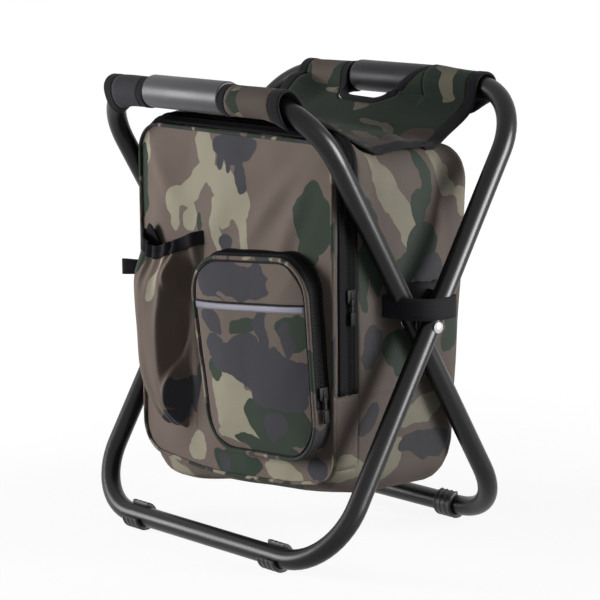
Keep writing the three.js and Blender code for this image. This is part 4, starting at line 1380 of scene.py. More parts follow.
def bag_section(y, inset=0.0):
    """Half width, floor, top and corner radius of the bag's outline at depth y, drawn in by inset."""
    sizes = sizes_now()
    sagged = math.sin(clamp((y - FRONT_Y) / SAG_RUN) * math.pi / 2) ** 1.3
    ridge = RIDGE * smooth_step(FRONT_Y, ZIP_Y, y)
    dip = (RIDGE + LID_DIP) * smooth_step(ZIP_Y, FRONT_Y + SAG_RUN, y)
    round_now = sizes.rear_round - inset
    turned_in = 1 - math.sqrt(1 - clamp((y - rear_start()) / round_now) ** 2)
    drawn = inset + round_now * turned_in
    low = mix(PANEL_LOW, BAG_LOW.z, sagged) + drawn + REAR_RISE * turned_in
    high = PANEL_HIGH + ridge - dip - drawn
    return BAG_HIGH.x - drawn, low, high, max(sizes.corner - inset, 2 * MM)


def ring_total(section):
    half, low, high, radius = section
    return 2 * (half - radius) + math.pi * radius + high - low - 2 * radius


def ring_reach(section, z):
    """Distance along the right half of an outline, from the floor's middle, to height z on its side."""
    half, low, _, radius = section
    if z < low + radius:
        share = min(max((low + radius - z) / radius, -1), 1)
        return half - radius + radius * math.acos(share)
    return half - radius + radius * math.pi / 2 + z - low - radius


def ring_point(section, distance):
    """Place and outward direction on the right half of an outline, as (x, z) pairs."""
    half, low, high, radius = section
    flat = half - radius
    arc = radius * math.pi / 2
    side = high - low - 2 * radius
    if distance <= flat:
        return (distance, low), (0, -1)
    distance -= flat
    if distance <= arc:
        out = (math.sin(distance / radius), -math.cos(distance / radius))
        return (flat + radius * out[0], low + radius + radius * out[1]), out
    distance -= arc
    if distance <= side:
        return (half, low + radius + distance), (1, 0)
    distance -= side
    if distance <= arc:
        out = (math.cos(distance / radius), math.sin(distance / radius))
        return (flat + radius * out[0], high - radius + radius * out[1]), out
    return (flat - distance + arc, high), (0, 1)


def part_ends(section, part):
    hinge = ring_reach(section, FLAP_HINGE.z)
    zip_end = ring_reach(section, ZIP_END_Z)
    ends = {"low": (0, hinge), "gore": (hinge, zip_end), "zip": (zip_end, ring_total(section))}
    return ends[part]


def bag_puff(point, up):
    """How far the filled cloth stands off the plain outline, where the outline looks up by a share."""
    x, y, z = point
    middle = math.sin(math.pi * clamp((z - PANEL_LOW) / (PANEL_HIGH - PANEL_LOW)))
    inner = smooth_step(FRONT_Y, FRONT_Y + 45 * MM, y) * smooth_step(REAR_Y, REAR_Y - 50 * MM, y)
    soft = 1.9 * MM * wobble(x * 9, y * 13, z * 8)
    fine = 0.7 * MM * wobble(x * 28, y * 34, z * 22)
    upright = 1 - smooth_step(0.2, 0.9, up)
    near_top = smooth_step(*GATHER_RISE, z) * upright
    gathers = GATHER_HEIGHT * math.sin(y / GATHER_LENGTH + 2.6 * wobble(3, y * 20, z * 7))
    from_top = smooth_step(*FOLD_RISE, z) * upright
    folds = 0.0
    for height, place, width, lean in SIDE_FOLDS:
        folds += height * MM * bump(y + lean * (z - PANEL_HIGH), place * MM, width * MM)
    pressed = 1 - 0.95 * bump(z, STRAP_Z, 20 * MM) * bump(y, 16 * MM, 40 * MM) * upright
    lid = LID_PUFF * smooth_step(0.5, 1, up) * smooth_step(40 * MM, -60 * MM, x)
    seam = -SEAM_GROOVE * bump(z, SIDE_SEAM_Z, SEAM_WIDTH) * smooth_step(-5 * MM, -20 * MM, y)
    filled = SIDE_PUFF * middle + soft + near_top * gathers + lid
    return inner * pressed * filled + fine + seam + from_top * folds


def sag_hills(x, hills):
    return sum(height * MM * bump(x, place * MM, width * MM) for height, place, width in hills)


def floor_sag(x, y, z):
    """How far the loaded bottom hangs below its plain outline."""
    near_floor = smooth_step(PANEL_LOW + SAG_HEIGHT, PANEL_LOW, z)
    front = smooth_step(20 * MM, FRONT_Y + 20 * MM, y)
    behind = smooth_step(FRONT_Y, FRONT_Y + 10 * MM, y) * smooth_step(1.0, 0.86, abs(x) / BAG_HIGH.x)
    belly = BELLY + sag_hills(x, BELLY_HILLS)
    return (sag_hills(x, EDGE_HILLS) + belly * behind) * near_floor * front


def bag_place(side, part, share, y, inset=0.0, puff=True):
    """Point on the bag at a share of one part of its outline: side is 1 on the right, -1 on the left."""
    section = bag_section(y, inset)
    (x, z), (out_x, out_z) = ring_point(section, mix(*part_ends(section, part), share))
    point = Vector((side * x, y, z))
    if puff:
        turn = clamp((y - rear_start()) / sizes_now().rear_round)
        flat = math.sqrt(1 - turn ** 2)
        point += bag_puff(point, out_z) * Vector((side * out_x * flat, turn, out_z * flat))
    front = FRONT_Y + SAG_RUN
    leaning = clamp((y - front) / (rear_start() - front))
    point.y += REAR_LEAN * leaning * (z - PIVOT.z)
    point.z -= floor_sag(point.x, y, z)
    return point


def depth_stations(inset=0.0):
    """Depths of the bag's outlines from the rear zip tape to the flat of the back."""
    straight = 30
    rounded = 9
    round_now = sizes_now().rear_round - inset
    stations = [mix(TAPE_REAR, rear_start(), i / straight) for i in range(straight)]
    for i in range(rounded + 1):
        stations.append(rear_start() + round_now * math.sin(math.pi / 2 * i / rounded))
    return stations


def bag_wall(bm, parts, depths, inset=0.0, puff=True):
    """Both sides' strips of some parts of the outline along some depths."""
    last = len(depths) - 1
    for _, side in SIDES:
        for part in parts:
            surface(bm, RING_STEPS[part], last,
                    lambda u, v: bag_place(side, part, u, depths[round(v * last)], inset, puff))


def bag_back(bm, inset=0.0, puff=True):
    """Flat of the back: the last outline drawn together to its middle."""
    y = REAR_Y - inset
    _, low, high, _ = bag_section(y, inset)
    height = (low + high) / 2
    middle = Vector((0, y + REAR_LEAN * (height - PIVOT.z), height))
    rings = 7
    for _, side in SIDES:
        for part in RING_STEPS:
            surface(bm, RING_STEPS[part], rings,
                    lambda u, v: bag_place(side, part, u, y, inset, puff).lerp(middle, v))


def bag_mesh(front_depths, inset=0.0, puff=True):
    """Walls and back of the bag, with the low part of its front along some depths."""
    bm = bmesh.new()
    bag_wall(bm, RING_STEPS, depth_stations(inset), inset, puff)
    bag_back(bm, inset, puff)
    if front_depths:
        bag_wall(bm, ("low",), front_depths)
    weld(bm, BAG_WELD)
    return face_away(bm, BAG_HEART)


def build_bag():
    sizes = sizes_now()
    front_depths = [mix(FRONT_Y, TAPE_REAR, i / FRONT_RINGS) for i in range(FRONT_RINGS + 1)]
    shell = printed_piece("cooler_bag", bag_mesh(front_depths), "body", "bag_shell", "bag_foam")
    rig.ride(thicken(shell, sizes.cloth), "bag")
    inside = flip(bag_mesh([], sizes.wall, False))
    lining = make_piece("bag_lining", inside, silver_film(), "silver_liner", "bag_liner")
    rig.ride(thicken(lining, FILM), "bag")
    bm = bmesh.new()
    for _, side in SIDES:
        for part in ("gore", "zip"):
            surface(bm, RING_STEPS[part], 1,
                    lambda u, v: bag_place(side, part, u, TAPE_REAR, mix(0.4 * MM, sizes.wall, v), False))
    weld(bm)
    rim = webbing_piece("bag_mouth_binding", face_away(bm, BEHIND_MOUTH))
    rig.ride(thicken(rim, 1.2 * MM, 0.0), "bag")
    behind_gore = Vector((0, -0.05, 0.12))
    for label, side in SIDES:

        def place(u, v):
            return bag_place(side, "gore", u, front_depths[round(v * FRONT_RINGS)])

        mesh = sheet_mesh(RING_STEPS["gore"], FRONT_RINGS, place, behind_gore)
        gore = printed_piece("side_gore_" + label, mesh, "body")
        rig.blend(gore, "bag", "front_flap", (0, TAPE_REAR, 0), (0, FRONT_Y, 0))
        thicken(gore, sizes.cloth)
        build_side_seam(label, side)


def build_side_seam(label, side):
    """Two rows of stitches along the seam where the zip ends."""
    steps = 24
    rows = []
    for offset in (-3.2 * MM, -6.0 * MM):
        line = []
        for i in range(steps + 1):
            y = mix(TAPE_REAR + 1 * MM, -12 * MM, i / steps)
            section = bag_section(y)
            start, end = part_ends(section, "gore")
            share = (ring_reach(section, ZIP_END_Z + offset) - start) / (end - start)
            line.append(bag_place(side, "gore", share, y))
        rows.append((line, [Vector((side, 0, 0))] * len(line)))
    seam = make_piece("side_seam_" + label, stitches(rows), sewing_thread(), "black_webbing")
    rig.ride(seam, "bag")


# Flap: the front panel with its piping and the strip up to the zip


def rounded_spot(u, v, low, high, radius):
    """Place at shares across and up of a rectangle with round corners: low and high are (x, z)."""
    spot = [mix(low[0], high[0], u), mix(low[1], high[1], v)]
    middle = [(low[axis] + high[axis]) / 2 for axis in (0, 1)]
    flat = [(high[axis] - low[axis]) / 2 - radius for axis in (0, 1)]
    inside = [max(abs(spot[axis] - middle[axis]) - flat[axis], 0) / radius for axis in (0, 1)]
    if min(inside) > 0:
        for axis in (0, 1):
            part = inside[axis] * math.sqrt(1 - inside[1 - axis] ** 2 / 2)
            way = 1 if spot[axis] > middle[axis] else -1
            spot[axis] = middle[axis] + way * (flat[axis] + radius * part)
    return spot


CORD_STEP = 4 * MM


def round_path(low, high, radius, y=0.0):
    """Points round a rectangle with round corners, from the floor's middle to the right."""
    half = (high[0] - low[0]) / 2
    section = (half, low[1], high[1], radius)
    total = ring_total(section)
    count = math.ceil(total / CORD_STEP)
    centre = (low[0] + high[0]) / 2
    right = [ring_point(section, total * i / count)[0] for i in range(count + 1)]
    points = [Vector((centre + x, y, z)) for x, z in right]
    return points + [Vector((centre - x, y, z)) for x, z in right[-2:0:-1]]


# Soft creases of the front panel: middle (x, z) in mm, turn from level in degrees and half length in mm
PANEL_CREASES = ((60, 322, 46, 55), (-104, 336, -52, 34), (85, 300, 62, 40))
PANEL_CROWN = 3.2 * MM
PLEAT = 1.7 * MM
PLEAT_OFF = 7 * MM
PLEAT_WIDTH = 9 * MM


def panel_depth(x, z):
    """Depth of the front panel's surface: it stands out softly between its seams."""
    edge = min(BAG_HIGH.x - abs(x), z - PANEL_LOW, PANEL_HIGH - z)
    crown = PANEL_CROWN * smooth_step(0, 45 * MM, edge)
    calm = smooth_step(0, 20 * MM, edge)
    folds = 2.3 * MM * (wobble(x * 24, 5, z * 6) + 0.8 * wobble((x + z) * 11, 7, (x - z) * 26))
    fine = 0.35 * MM * wobble(x * 60, 9, z * 30)
    for middle_x, middle_z, degrees, reach in PANEL_CREASES:
        turn = math.radians(degrees)
        right = x - middle_x * MM
        above = z - middle_z * MM
        along = right * math.cos(turn) + above * math.sin(turn)
        off = above * math.cos(turn) - right * math.sin(turn)
        pleat = PLEAT * (bump(off, PLEAT_OFF, PLEAT_WIDTH) - bump(off, -PLEAT_OFF, PLEAT_WIDTH))
        folds += pleat * bump(along, 0, reach * MM)
    return FRONT_Y - crown - calm * folds - fine


def build_flap():
    sizes = sizes_now()
    low = (-BAG_HIGH.x, PANEL_LOW)
    high = (BAG_HIGH.x, PANEL_HIGH)
    bend = ((0, 0, FLAP_HINGE.z - 9.5 * MM), (0, 0, FLAP_HINGE.z + 3.5 * MM))

    def place(u, v):
        x, z = rounded_spot(u, v, low, high, sizes.corner)
        return Vector((x, panel_depth(x, z), z - floor_sag(x, FRONT_Y, z)))

    mesh = sheet_mesh(64, 74, place, BAG_HEART)
    panel = printed_piece("front_panel", mesh, "panel", "flap_shell", "flap_foam")
    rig.blend(panel, "bag", "front_flap", *bend)
    thicken(panel, sizes.cloth)
    inset = sizes.piping * 0.6
    path = round_path((low[0] + inset, low[1] + inset), (high[0] - inset, high[1] - inset),
                      sizes.corner - inset, FRONT_Y - 0.9 * MM)
    for point in path:
        point.z -= floor_sag(point.x, FRONT_Y, point.z)
    mesh = closed_cord(path, sizes.piping, 8)
    cord = printed_piece("panel_piping", mesh, "piping", "bag_piping", "flap_piping")
    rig.blend(cord, "bag", "front_flap", *bend)
    bm = bmesh.new()
    bag_wall(bm, ("zip",), [FRONT_Y, mix(FRONT_Y, TAPE_FRONT, 0.5), TAPE_FRONT])
    weld(bm)
    rim = printed_piece("flap_edge", face_away(bm, Vector((0, FRONT_Y, PIVOT.z))), "body")
    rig.ride(thicken(rim, sizes.cloth), "front_flap")
    build_flap_lining(low, high)


def build_flap_lining(low, high):
    """Silver tray on the flap's inside, above the hinge."""
    sizes = sizes_now()
    wall = sizes.wall
    tray_low = (low[0] + wall, FLAP_HINGE.z + 5 * MM)
    tray_high = (high[0] - wall, high[1] - wall)

    def place(u, v):
        x, z = rounded_spot(u, v, tray_low, tray_high, sizes.corner - wall)
        return Vector((x, FRONT_Y + wall, z))

    bm = bmesh.new()
    surface(bm, 24, 30, place)
    extrude_ring(bm, rim_edges(bm), Vector((0, ZIP_Y - FRONT_Y - wall - 0.4 * MM, 0)))
    flip(face_away(bm, BEHIND_MOUTH))
    tray = make_piece("flap_lining", bm, silver_film(), "silver_liner", "flap_liner")
    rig.ride(thicken(tray, FILM), "front_flap")


# Zips

TOOTH_OFFSET = 1.1 * MM
TOOTH_FILL = 0.36
TOOTH_WIDTH = 1.5 * MM
TOOTH_HEIGHT = 0.9 * MM

# Lift of a zip's tape in mm at shares of its width, from the teeth to its raised fold and its edge
TAPE_LIFTS = ((0, 0.5), (0.35, 0.6), (0.46, 1.9), (0.6, 3.0), (0.74, 0.8), (0.86, 2.6), (1, 0.4))

# Blocks of a slider and of a pull as shares of its size: place out and up, thickness, width, height and edge
ZIP_BLOCKS = {
    "slider": [
        (0.3, 0, 0.28, 1, 0.96, 0.1),
        (0.8, 0, 0.28, 1, 0.96, 0.1),
        (0.5, 0.3, 1, 0.3, 0.3, 0.1),
        (1.2, 0, 0.25, 0.26, 0.62, 0.08),
    ],
    "pull": [
        (0, -0.14, 1, 0.62, 0.28, 0.3),
        (0, -0.4, 0.9, 0.5, 0.3, 0.3),
        (0, -0.74, 1.3, 1, 0.5, 0.4),
        *((0.6, -0.6 - 0.09 * i, 0.5, 0.8, 0.035, 0.1) for i in range(4)),
    ],
}


def teeth(path, ways, hand):
    """Coil teeth beside a path, on the sides along Y that are given."""
    pitch = sizes_now().tooth_pitch
    bm = bmesh.new()
    for way in ways:
        side = Vector((0, way, 0))
        row = [point + TOOTH_OFFSET * side for point in path]
        legs = [(start, end, side) for start, end in zip(row, row[1:])]
        bead_row(bm, legs, pitch, (TOOTH_FILL * pitch, TOOTH_WIDTH, TOOTH_HEIGHT), hand)
    return mend_normals(bm)


def zip_set(label, tilt):
    """Slider and pull of one zip, facing +X where their CAD nodes are and of the main zip's size."""
    turn = Matrix.Rotation(-tilt, 3, "Y")
    for part, name, root in (("slider", "_runner", (-0.5, 0)), ("pull", "_tab", (0, 0.5))):
        node = label + "_" + part
        centre = middle_of(node)
        low, high = node_box("main_zip_" + part)
        size = high - low
        bm = bmesh.new()
        for out, up, thick, width, height, edge in ZIP_BLOCKS[part]:
            spot = centre + Vector(((root[0] + out) * size.x, 0, (root[1] + up) * size.z))
            rounded_block(bm, spot, (thick * size.x, width * size.y, height * size.z), edge * size.x)
        bmesh.ops.rotate(bm, verts=bm.verts[:], cent=centre, matrix=turn)
        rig.ride(make_piece(label + name, mend_normals(bm), zip_metal(), "zip_metal", node), node)


def zip_line(y, lift, steps):
    """Points over the bag along the zip at depth y, from the right end to the left one."""
    right = [bag_place(1, "zip", i / steps, y, -lift, False) for i in range(steps + 1)]
    return right + [Vector((-point.x, point.y, point.z)) for point in right[-2::-1]]


def zip_strip(bm, profile):
    """Tape over both sides of the bag from (depth, lift) pairs."""
    last = len(profile) - 1
    for _, side in SIDES:

        def place(u, v):
            y, lift = profile[round(v * last)]
            return bag_place(side, "zip", u, y, -lift, False)

        surface(bm, RING_STEPS["zip"], last, place)
    weld(bm)


def build_zips():
    """Tapes with a raised fold along their outer edges, teeth and stitches."""
    for label, body, way, edge in (("bag", "bag", 1, TAPE_REAR), ("flap", "front_flap", -1, TAPE_FRONT)):
        start = ZIP_Y + way * 0.2 * MM
        bm = bmesh.new()
        zip_strip(bm, [(mix(start, edge, share), lift * MM) for share, lift in TAPE_LIFTS])
        face_away(bm, Vector((0, ZIP_Y, PIVOT.z)))
        tape = make_piece("zip_tape_" + label, bm, zip_cloth(), "zip_tape", "main_zip_tape_" + label)
        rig.ride(thicken(tape, 0.9 * MM), body)
        row = teeth(zip_line(ZIP_Y, 0.7 * MM, 120), [way], 1)
        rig.ride(make_piece("zip_teeth_" + label, row, zip_cloth(), "zip_tape"), body)
        path = zip_line(mix(start, edge, 0.8), 0.9 * MM, 90)
        normals = [Vector((point.x, 0, point.z - PIVOT.z)).normalized() for point in path]
        seam = stitches([(path, normals)])
        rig.ride(make_piece("zip_stitches_" + label, seam, sewing_thread(), "zip_tape"), body)
    zip_set("main_zip", 0.0)
    zip_set("pocket_zip", POCKET_TILT)


# Front pocket: made upright, then turned to the tilt at which it is sewn on

POCKET_CORNER = 38 * MM
POCKET_BACK = FRONT_Y + 1.2 * MM
POCKET_FRONT = POCKET_LOW.y
FACE_INSET = 1.9 * MM
SEAM_INSET = 3.4 * MM
POCKET_TAPE = 21 * MM
POCKET_SLACK = 8 * MM
CROWN_RUN = 52 * MM
FLARE_FRONT = 1.5 * MM
FLARE_MORE = 5 * MM
POCKET_MIDDLE = (POCKET_LOW + POCKET_HIGH) / 2
TILT_COS = math.cos(POCKET_TILT)
TILT_SIN = math.sin(POCKET_TILT)


def upright_half(low, high, corner):
    """Half width and half height before its tilt of a rectangle whose tilted box is known."""
    across = (high.x - low.x) / 2 - corner
    up = (high.z - low.z) / 2 - corner
    spread = math.cos(2 * POCKET_TILT)
    half_x = (across * TILT_COS - up * TILT_SIN) / spread + corner
    half_z = (up * TILT_COS - across * TILT_SIN) / spread + corner
    return half_x, half_z


def upright_spot(spot):
    """Place before the pocket's tilt of a point on it, as (x, z)."""
    x = spot.x - POCKET_MIDDLE.x
    z = spot.z - POCKET_MIDDLE.z
    return POCKET_MIDDLE.x + x * TILT_COS + z * TILT_SIN, POCKET_MIDDLE.z + z * TILT_COS - x * TILT_SIN


def tilted(bm):
    matrix = Matrix.Rotation(-POCKET_TILT, 3, "Y")
    bmesh.ops.rotate(bm, verts=bm.verts[:], cent=POCKET_MIDDLE, matrix=matrix)
    return bm


def pocket_rect(inset):
    half_x, half_z = upright_half(POCKET_LOW, POCKET_HIGH, POCKET_CORNER)
    reach = Vector((half_x - inset, 0, half_z - inset))
    low = POCKET_MIDDLE - reach
    high = POCKET_MIDDLE + reach
    return (low.x, low.z), (high.x, high.z)


def pocket_slack(x, z):
    """How far the empty lower left corner of the pocket lies back."""
    low, high = pocket_rect(0)
    left = (high[0] - x) / (high[0] - low[0])
    down = (high[1] - z) / (high[1] - low[1])
    return POCKET_SLACK * smooth_step(1.1, 1.9, left + down)


def pocket_depth(x, z):
    """Depth of the pocket's face: a soft crown with a few dents."""
    low, high = pocket_rect(FACE_INSET)
    edge = max(min(x - low[0], high[0] - x, z - low[1], high[1] - z), 0)
    full = FACE_HIGH.y - FACE_LOW.y
    crown = full * (1 - (1 - min(edge / CROWN_RUN, 1)) ** 2.2)
    dents = 1.3 * MM * wobble(x * 20, 2, z * 13) * smooth_step(0, 25 * MM, edge)
    fine = 0.4 * MM * wobble(x * 55, 4, z * 45)
    return FACE_HIGH.y + pocket_slack(x, z) - crown * 0.95 - dents - fine


def build_pocket():
    cloth = sizes_now().cloth
    band = round_path(*pocket_rect(0), POCKET_CORNER)
    count = len(band)

    def gusset_place(u, v):
        spot = band[round(u * count) % count].copy()
        spot.y = mix(POCKET_BACK, POCKET_FRONT + pocket_slack(spot.x, spot.z), v)
        wave = 0.5 * MM * wobble(spot.x * 30, spot.y * 40, spot.z * 30)
        middle = Vector((POCKET_MIDDLE.x, spot.y, POCKET_MIDDLE.z))
        return spot + (spot - middle).normalized() * wave * math.sin(math.pi * v)

    bm = bmesh.new()
    surface(bm, count, 8, gusset_place)
    weld(bm)
    face_away(bm, POCKET_MIDDLE)
    gusset = printed_piece("pocket_side_band", tilted(bm), "piping", "pocket_gusset")
    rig.ride(thicken(gusset, cloth), "front_flap")
    low, high = pocket_rect(FACE_INSET)

    def face_place(u, v):
        x, z = rounded_spot(u, v, low, high, POCKET_CORNER - FACE_INSET)
        return Vector((x, pocket_depth(x, z), z))

    bm = sheet_mesh(48, 54, face_place, BAG_HEART)
    face = printed_piece("pocket_front", tilted(bm), "pocket", "pocket_face")
    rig.ride(thicken(face, cloth), "front_flap")
    build_pocket_cords()
    build_pocket_zip()
    build_reflective()


def build_pocket_cords():
    """Piping round the pocket's edge and the seam inside it."""
    path = round_path(*pocket_rect(0.2 * MM), POCKET_CORNER, POCKET_FRONT - 0.6 * MM)
    for point in path:
        point.y += pocket_slack(point.x, point.z)
    bm = closed_cord(path, 1.15 * sizes_now().piping, 8)
    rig.ride(printed_piece("pocket_cord", tilted(bm), "piping", "pocket_piping"), "front_flap")
    path = round_path(*pocket_rect(SEAM_INSET), POCKET_CORNER - SEAM_INSET)
    for point in path:
        point.y = pocket_depth(point.x, point.z) - 0.1 * MM
    bm = closed_cord(path, 0.9 * MM, 6)
    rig.ride(webbing_piece("pocket_seam", tilted(bm)), "front_flap")


def build_pocket_zip():
    """Zip tape with teeth over the pocket's top and right side."""
    low, high = pocket_rect(-0.7 * MM)
    tape_low, tape_high = node_box("pocket_zip_tape")
    section = ((high[0] - low[0]) / 2, low[1], high[1], POCKET_CORNER)
    total = ring_total(section)
    right_end = upright_spot(Vector((tape_high.x, 0, tape_low.z)))[1]
    left_end = upright_spot(Vector((tape_low.x, 0, tape_high.z)))[0]
    first = ring_reach(section, right_end)
    last = total + POCKET_MIDDLE.x - left_end

    def spot(share, y):
        distance = mix(first, last, share)
        mirrored = distance > total
        (x, z), out = ring_point(section, 2 * total - distance if mirrored else distance)
        behind = (y - POCKET_FRONT) / (POCKET_BACK - POCKET_FRONT)
        flare = (FLARE_FRONT + FLARE_MORE * behind) * max(out[1], 0)
        x += flare * out[0]
        return Vector((POCKET_MIDDLE.x + (-x if mirrored else x), y, z + flare * out[1]))

    def line_at(y, steps):
        return [spot(i / steps, y) for i in range(steps + 1)]

    middle = (POCKET_BACK + POCKET_FRONT) / 2
    inside = Vector((POCKET_MIDDLE.x, middle, POCKET_MIDDLE.z))
    bm = sheet_mesh(80, 6, lambda u, v: spot(u, middle + POCKET_TAPE * (0.5 - v)), inside)
    tape = make_piece("pocket_zip_band", tilted(bm), zip_cloth(), "zip_tape", "pocket_zip_tape")
    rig.ride(thicken(tape, 2.3 * MM), "front_flap")
    bm = teeth(line_at(middle, 120), (1, -1), -1)
    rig.ride(make_piece("pocket_zip_teeth", tilted(bm), zip_cloth(), "zip_tape"), "front_flap")
    rows = []
    for y in (middle - 6 * MM, middle + 6 * MM):
        line = line_at(y, 90)
        centre = Vector((POCKET_MIDDLE.x, y, POCKET_MIDDLE.z))
        rows.append((line, [(point - centre).normalized() for point in line]))
    seam = make_piece("pocket_zip_stitches", tilted(stitches(rows)), sewing_thread(), "zip_tape")
    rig.ride(seam, "front_flap")


def build_reflective():
    """Reflective strip across the pocket, with a dark woven edge above it."""
    middle = upright_spot((TAPE_LOW + TAPE_HIGH) / 2)[1]
    half = upright_half(TAPE_LOW, TAPE_HIGH, 0)[1] - 0.9 * MM
    bottom = middle - half
    top = middle + half
    low, high = pocket_rect(SEAM_INSET)
    strips = (
        ("reflective_band", bottom, top, 0.8 * MM, reflective_strip(), "reflective_tape",
         ["reflective_tape"]),
        ("reflective_edge", top, top + 2 * MM, 0.6 * MM, black_webbing(), "black_webbing", []),
    )
    for name, start, end, lift, material, slot, nodes in strips:

        def place(u, v):
            x, z = mix(low[0], high[0], u), mix(start, end, v)
            return Vector((x, pocket_depth(x, z) - lift, z))

        strip = make_piece(name, tilted(sheet_mesh(50, 3, place, BAG_HEART)), material, slot, *nodes)
        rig.ride(thicken(strip, 0.9 * MM), "front_flap")


# Bottle pocket: a slack cup that bulges on its left, with an elastic rim

RIM_SHARE = 0.94
CUP_FOLD_WIDTH = 0.05
CUP_LEFT_ROUND = 24 * MM
CUP_RIGHT_ROUND = 8 * MM
HOOD_START = BOTTLE_LOW.x + 3 * MM
HOOD_END = BOTTLE_LOW.x + 37 * MM
HOOD_BASE = BOTTLE_HIGH.z - 22 * MM
HOOD_RISE = 29 * MM

# Folds of the cup: height in mm, place across at a level, slant, that level, and middle and reach upwards
CUP_FOLDS = ((11, 0.66, 0.6, 0.25, 0.27, 0.2), (5, 0.72, -0.4, 0.8, 0.8, 0.14), (-5, 0.2, 0.2, 0.5, 0.3, 0.2))


def cup_swell(u, v):
    """Swell across the cup: a full left part, a steep wall and a slack right part, evened out at the rim."""
    edge = mix(0.56, 0.68, smooth_step(0.5, 0.9, v))
    rise = math.sin(math.pi / 2 * min(u / 0.34, 1)) ** 0.7
    slack = 0.2 * (1 - smooth_step(0.85, 1, u))
    full = mix(rise, slack, smooth_step(edge, edge + 0.19, u))
    even = 0.85 * max(math.sin(math.pi * u), 0) ** 0.6
    return mix(full, even, smooth_step(0.8, 0.98, v))


def bottle_place(u, v, lift=0.0):
    """Point on the cup: u from its left seam to its right one, v from the bottom to the rim."""
    depth = FRONT_Y - BOTTLE_LOW.y
    height = BOTTLE_HIGH.z - BOTTLE_LOW.z
    left = BOTTLE_LOW.x + CUP_LEFT_ROUND * max(1 - v / 0.28, 0) ** 2
    right = BOTTLE_HIGH.x - CUP_RIGHT_ROUND * max(1 - v / 0.2, 0) ** 2
    deep = math.sin(math.pi / 2 * min(v / 0.55, 1)) ** 0.55 - 0.28 * smooth_step(0.74, 0.98, v)
    folds = lift
    for rise, place, slant, level, middle, reach in CUP_FOLDS:
        folds += rise * MM * bump(u, place + slant * (v - level), CUP_FOLD_WIDTH) * bump(v, middle, reach)
    gathers = 2.0 * MM * math.sin(u * 44 + 3 * wobble(u * 6, 1, 4)) * smooth_step(0.66, 0.97, v)
    puckers = 1.8 * MM * math.sin(u * 30 + 2) * smooth_step(0.2, 0.02, v)
    soft = 2.0 * MM * wobble(u * 5, v * 5, 8)
    calm = math.sin(math.pi * u) ** 0.5
    stand = depth * deep * cup_swell(u, v) + calm * (folds + gathers + puckers + soft)
    rim = (7 * smooth_step(0.7, 1, u) - 12 * bump(u, 0.42, 0.26)) * MM * smooth_step(0.6, 1, v)
    return Vector((mix(left, right, u), FRONT_Y + 0.6 * MM - max(stand, 0), BOTTLE_LOW.z + height * v + rim))


def build_bottle_pocket():
    inside = Vector(((BOTTLE_LOW.x + BOTTLE_HIGH.x) / 2, FRONT_Y, (BOTTLE_LOW.z + BOTTLE_HIGH.z) / 2))
    bm = sheet_mesh(80, 64, lambda u, v: bottle_place(u, v * RIM_SHARE), inside)
    cup = printed_piece("bottle_cup", bm, "bottle", "bottle_pocket")
    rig.ride(smoothed(thicken(cup, sizes_now().cloth)), "front_flap")
    bm = sheet_mesh(80, 6, lambda u, v: bottle_place(u, mix(RIM_SHARE - 0.01, 1.0, v), 0.8 * MM), inside)
    rim = webbing_piece("bottle_rim", bm, "bottle_pocket_rim")
    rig.ride(smoothed(thicken(rim, 2.4 * MM, 0.0)), "front_flap")

    def back_place(u, v):
        x = mix(HOOD_START, HOOD_END, u)
        arch = 1 - abs(2 * u - 1) ** 1.7
        z = HOOD_BASE + HOOD_RISE * arch * mix(0.1, 1, v)
        return Vector((x, panel_depth(x, z) - (1.2 + 6 * arch * v) * MM, z))

    bm = sheet_mesh(40, 6, back_place, BAG_HEART)
    hood = make_piece("bottle_back_edge", bm, zip_cloth(), "black_webbing")
    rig.ride(smoothed(thicken(hood, 2.2 * MM, 0.0)), "front_flap")


# Webbing


STRAP_THICKNESS = 1.4 * MM
TAB_THICKNESS = 1.6 * MM
TAIL_RUN = (-10 * MM, 46 * MM)
TAIL_DROP = 18 * MM
TAIL_WIDTH = 26 * MM
SIDE_TAB_Z = (240 * MM, 253 * MM)


def rounded_line(points, rounds):
    """A line with its corners cut round, its ends kept."""
    for _ in range(rounds):
        cut = [points[0]]
        for start, end in zip(points, points[1:]):
            cut += [start.lerp(end, 0.25), start.lerp(end, 0.75)]
        points = cut + [points[-1]]
    return points


def build_straps():
    tab = 8 * MM
    by_bag = BAG_HIGH.x + 1.2 * MM
    inner_leg = node_box("inner_frame_tube")[1].x
    for side, sign in SIDES:
        node = "leg_strap_" + side
        low, high = node_box(node)
        out = max(abs(low.x), abs(high.x)) - STRAP_THICKNESS / 2
        reach = high.y - tab
        corners = [
            (by_bag, -reach + 1 * MM),
            (by_bag, -reach + 3 * MM),
            (inner_leg - 18 * MM, -reach + 4 * MM),
            (inner_leg + 1 * MM, -reach + 5 * MM),
            (out, -8 * MM),
            (out, reach - 6 * MM),
            (out - 7 * MM, reach),
            (inner_leg - 16 * MM, reach),
            (by_bag, reach + 3 * MM),
            (by_bag, high.y),
        ]
        line = rounded_line([Vector((sign * x, y, 0)) for x, y in corners], 3)
        count = len(line) - 1

        def place(u, v):
            spot = line[round(u * count)].copy()
            spot.z = mix(low.z, high.z, v) - 1.2 * MM * math.sin(math.pi * u)
            return spot + Vector((sign * 0.35 * MM * math.sin(math.pi * v), 0, 0))

        inside = Vector((sign * 0.15, 0, (low.z + high.z) / 2))
        strap = webbing_piece("leg_loop_" + side, sheet_mesh(count, 4, place, inside), node)
        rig.ride(thicken(strap, STRAP_THICKNESS, 0.0), "bag")
        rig.squash(strap, "fold", (0, 1, 0), (0, 0, low.z), keep=0.45)
        build_strap_tail(side, sign, high.z)
    build_side_tab()


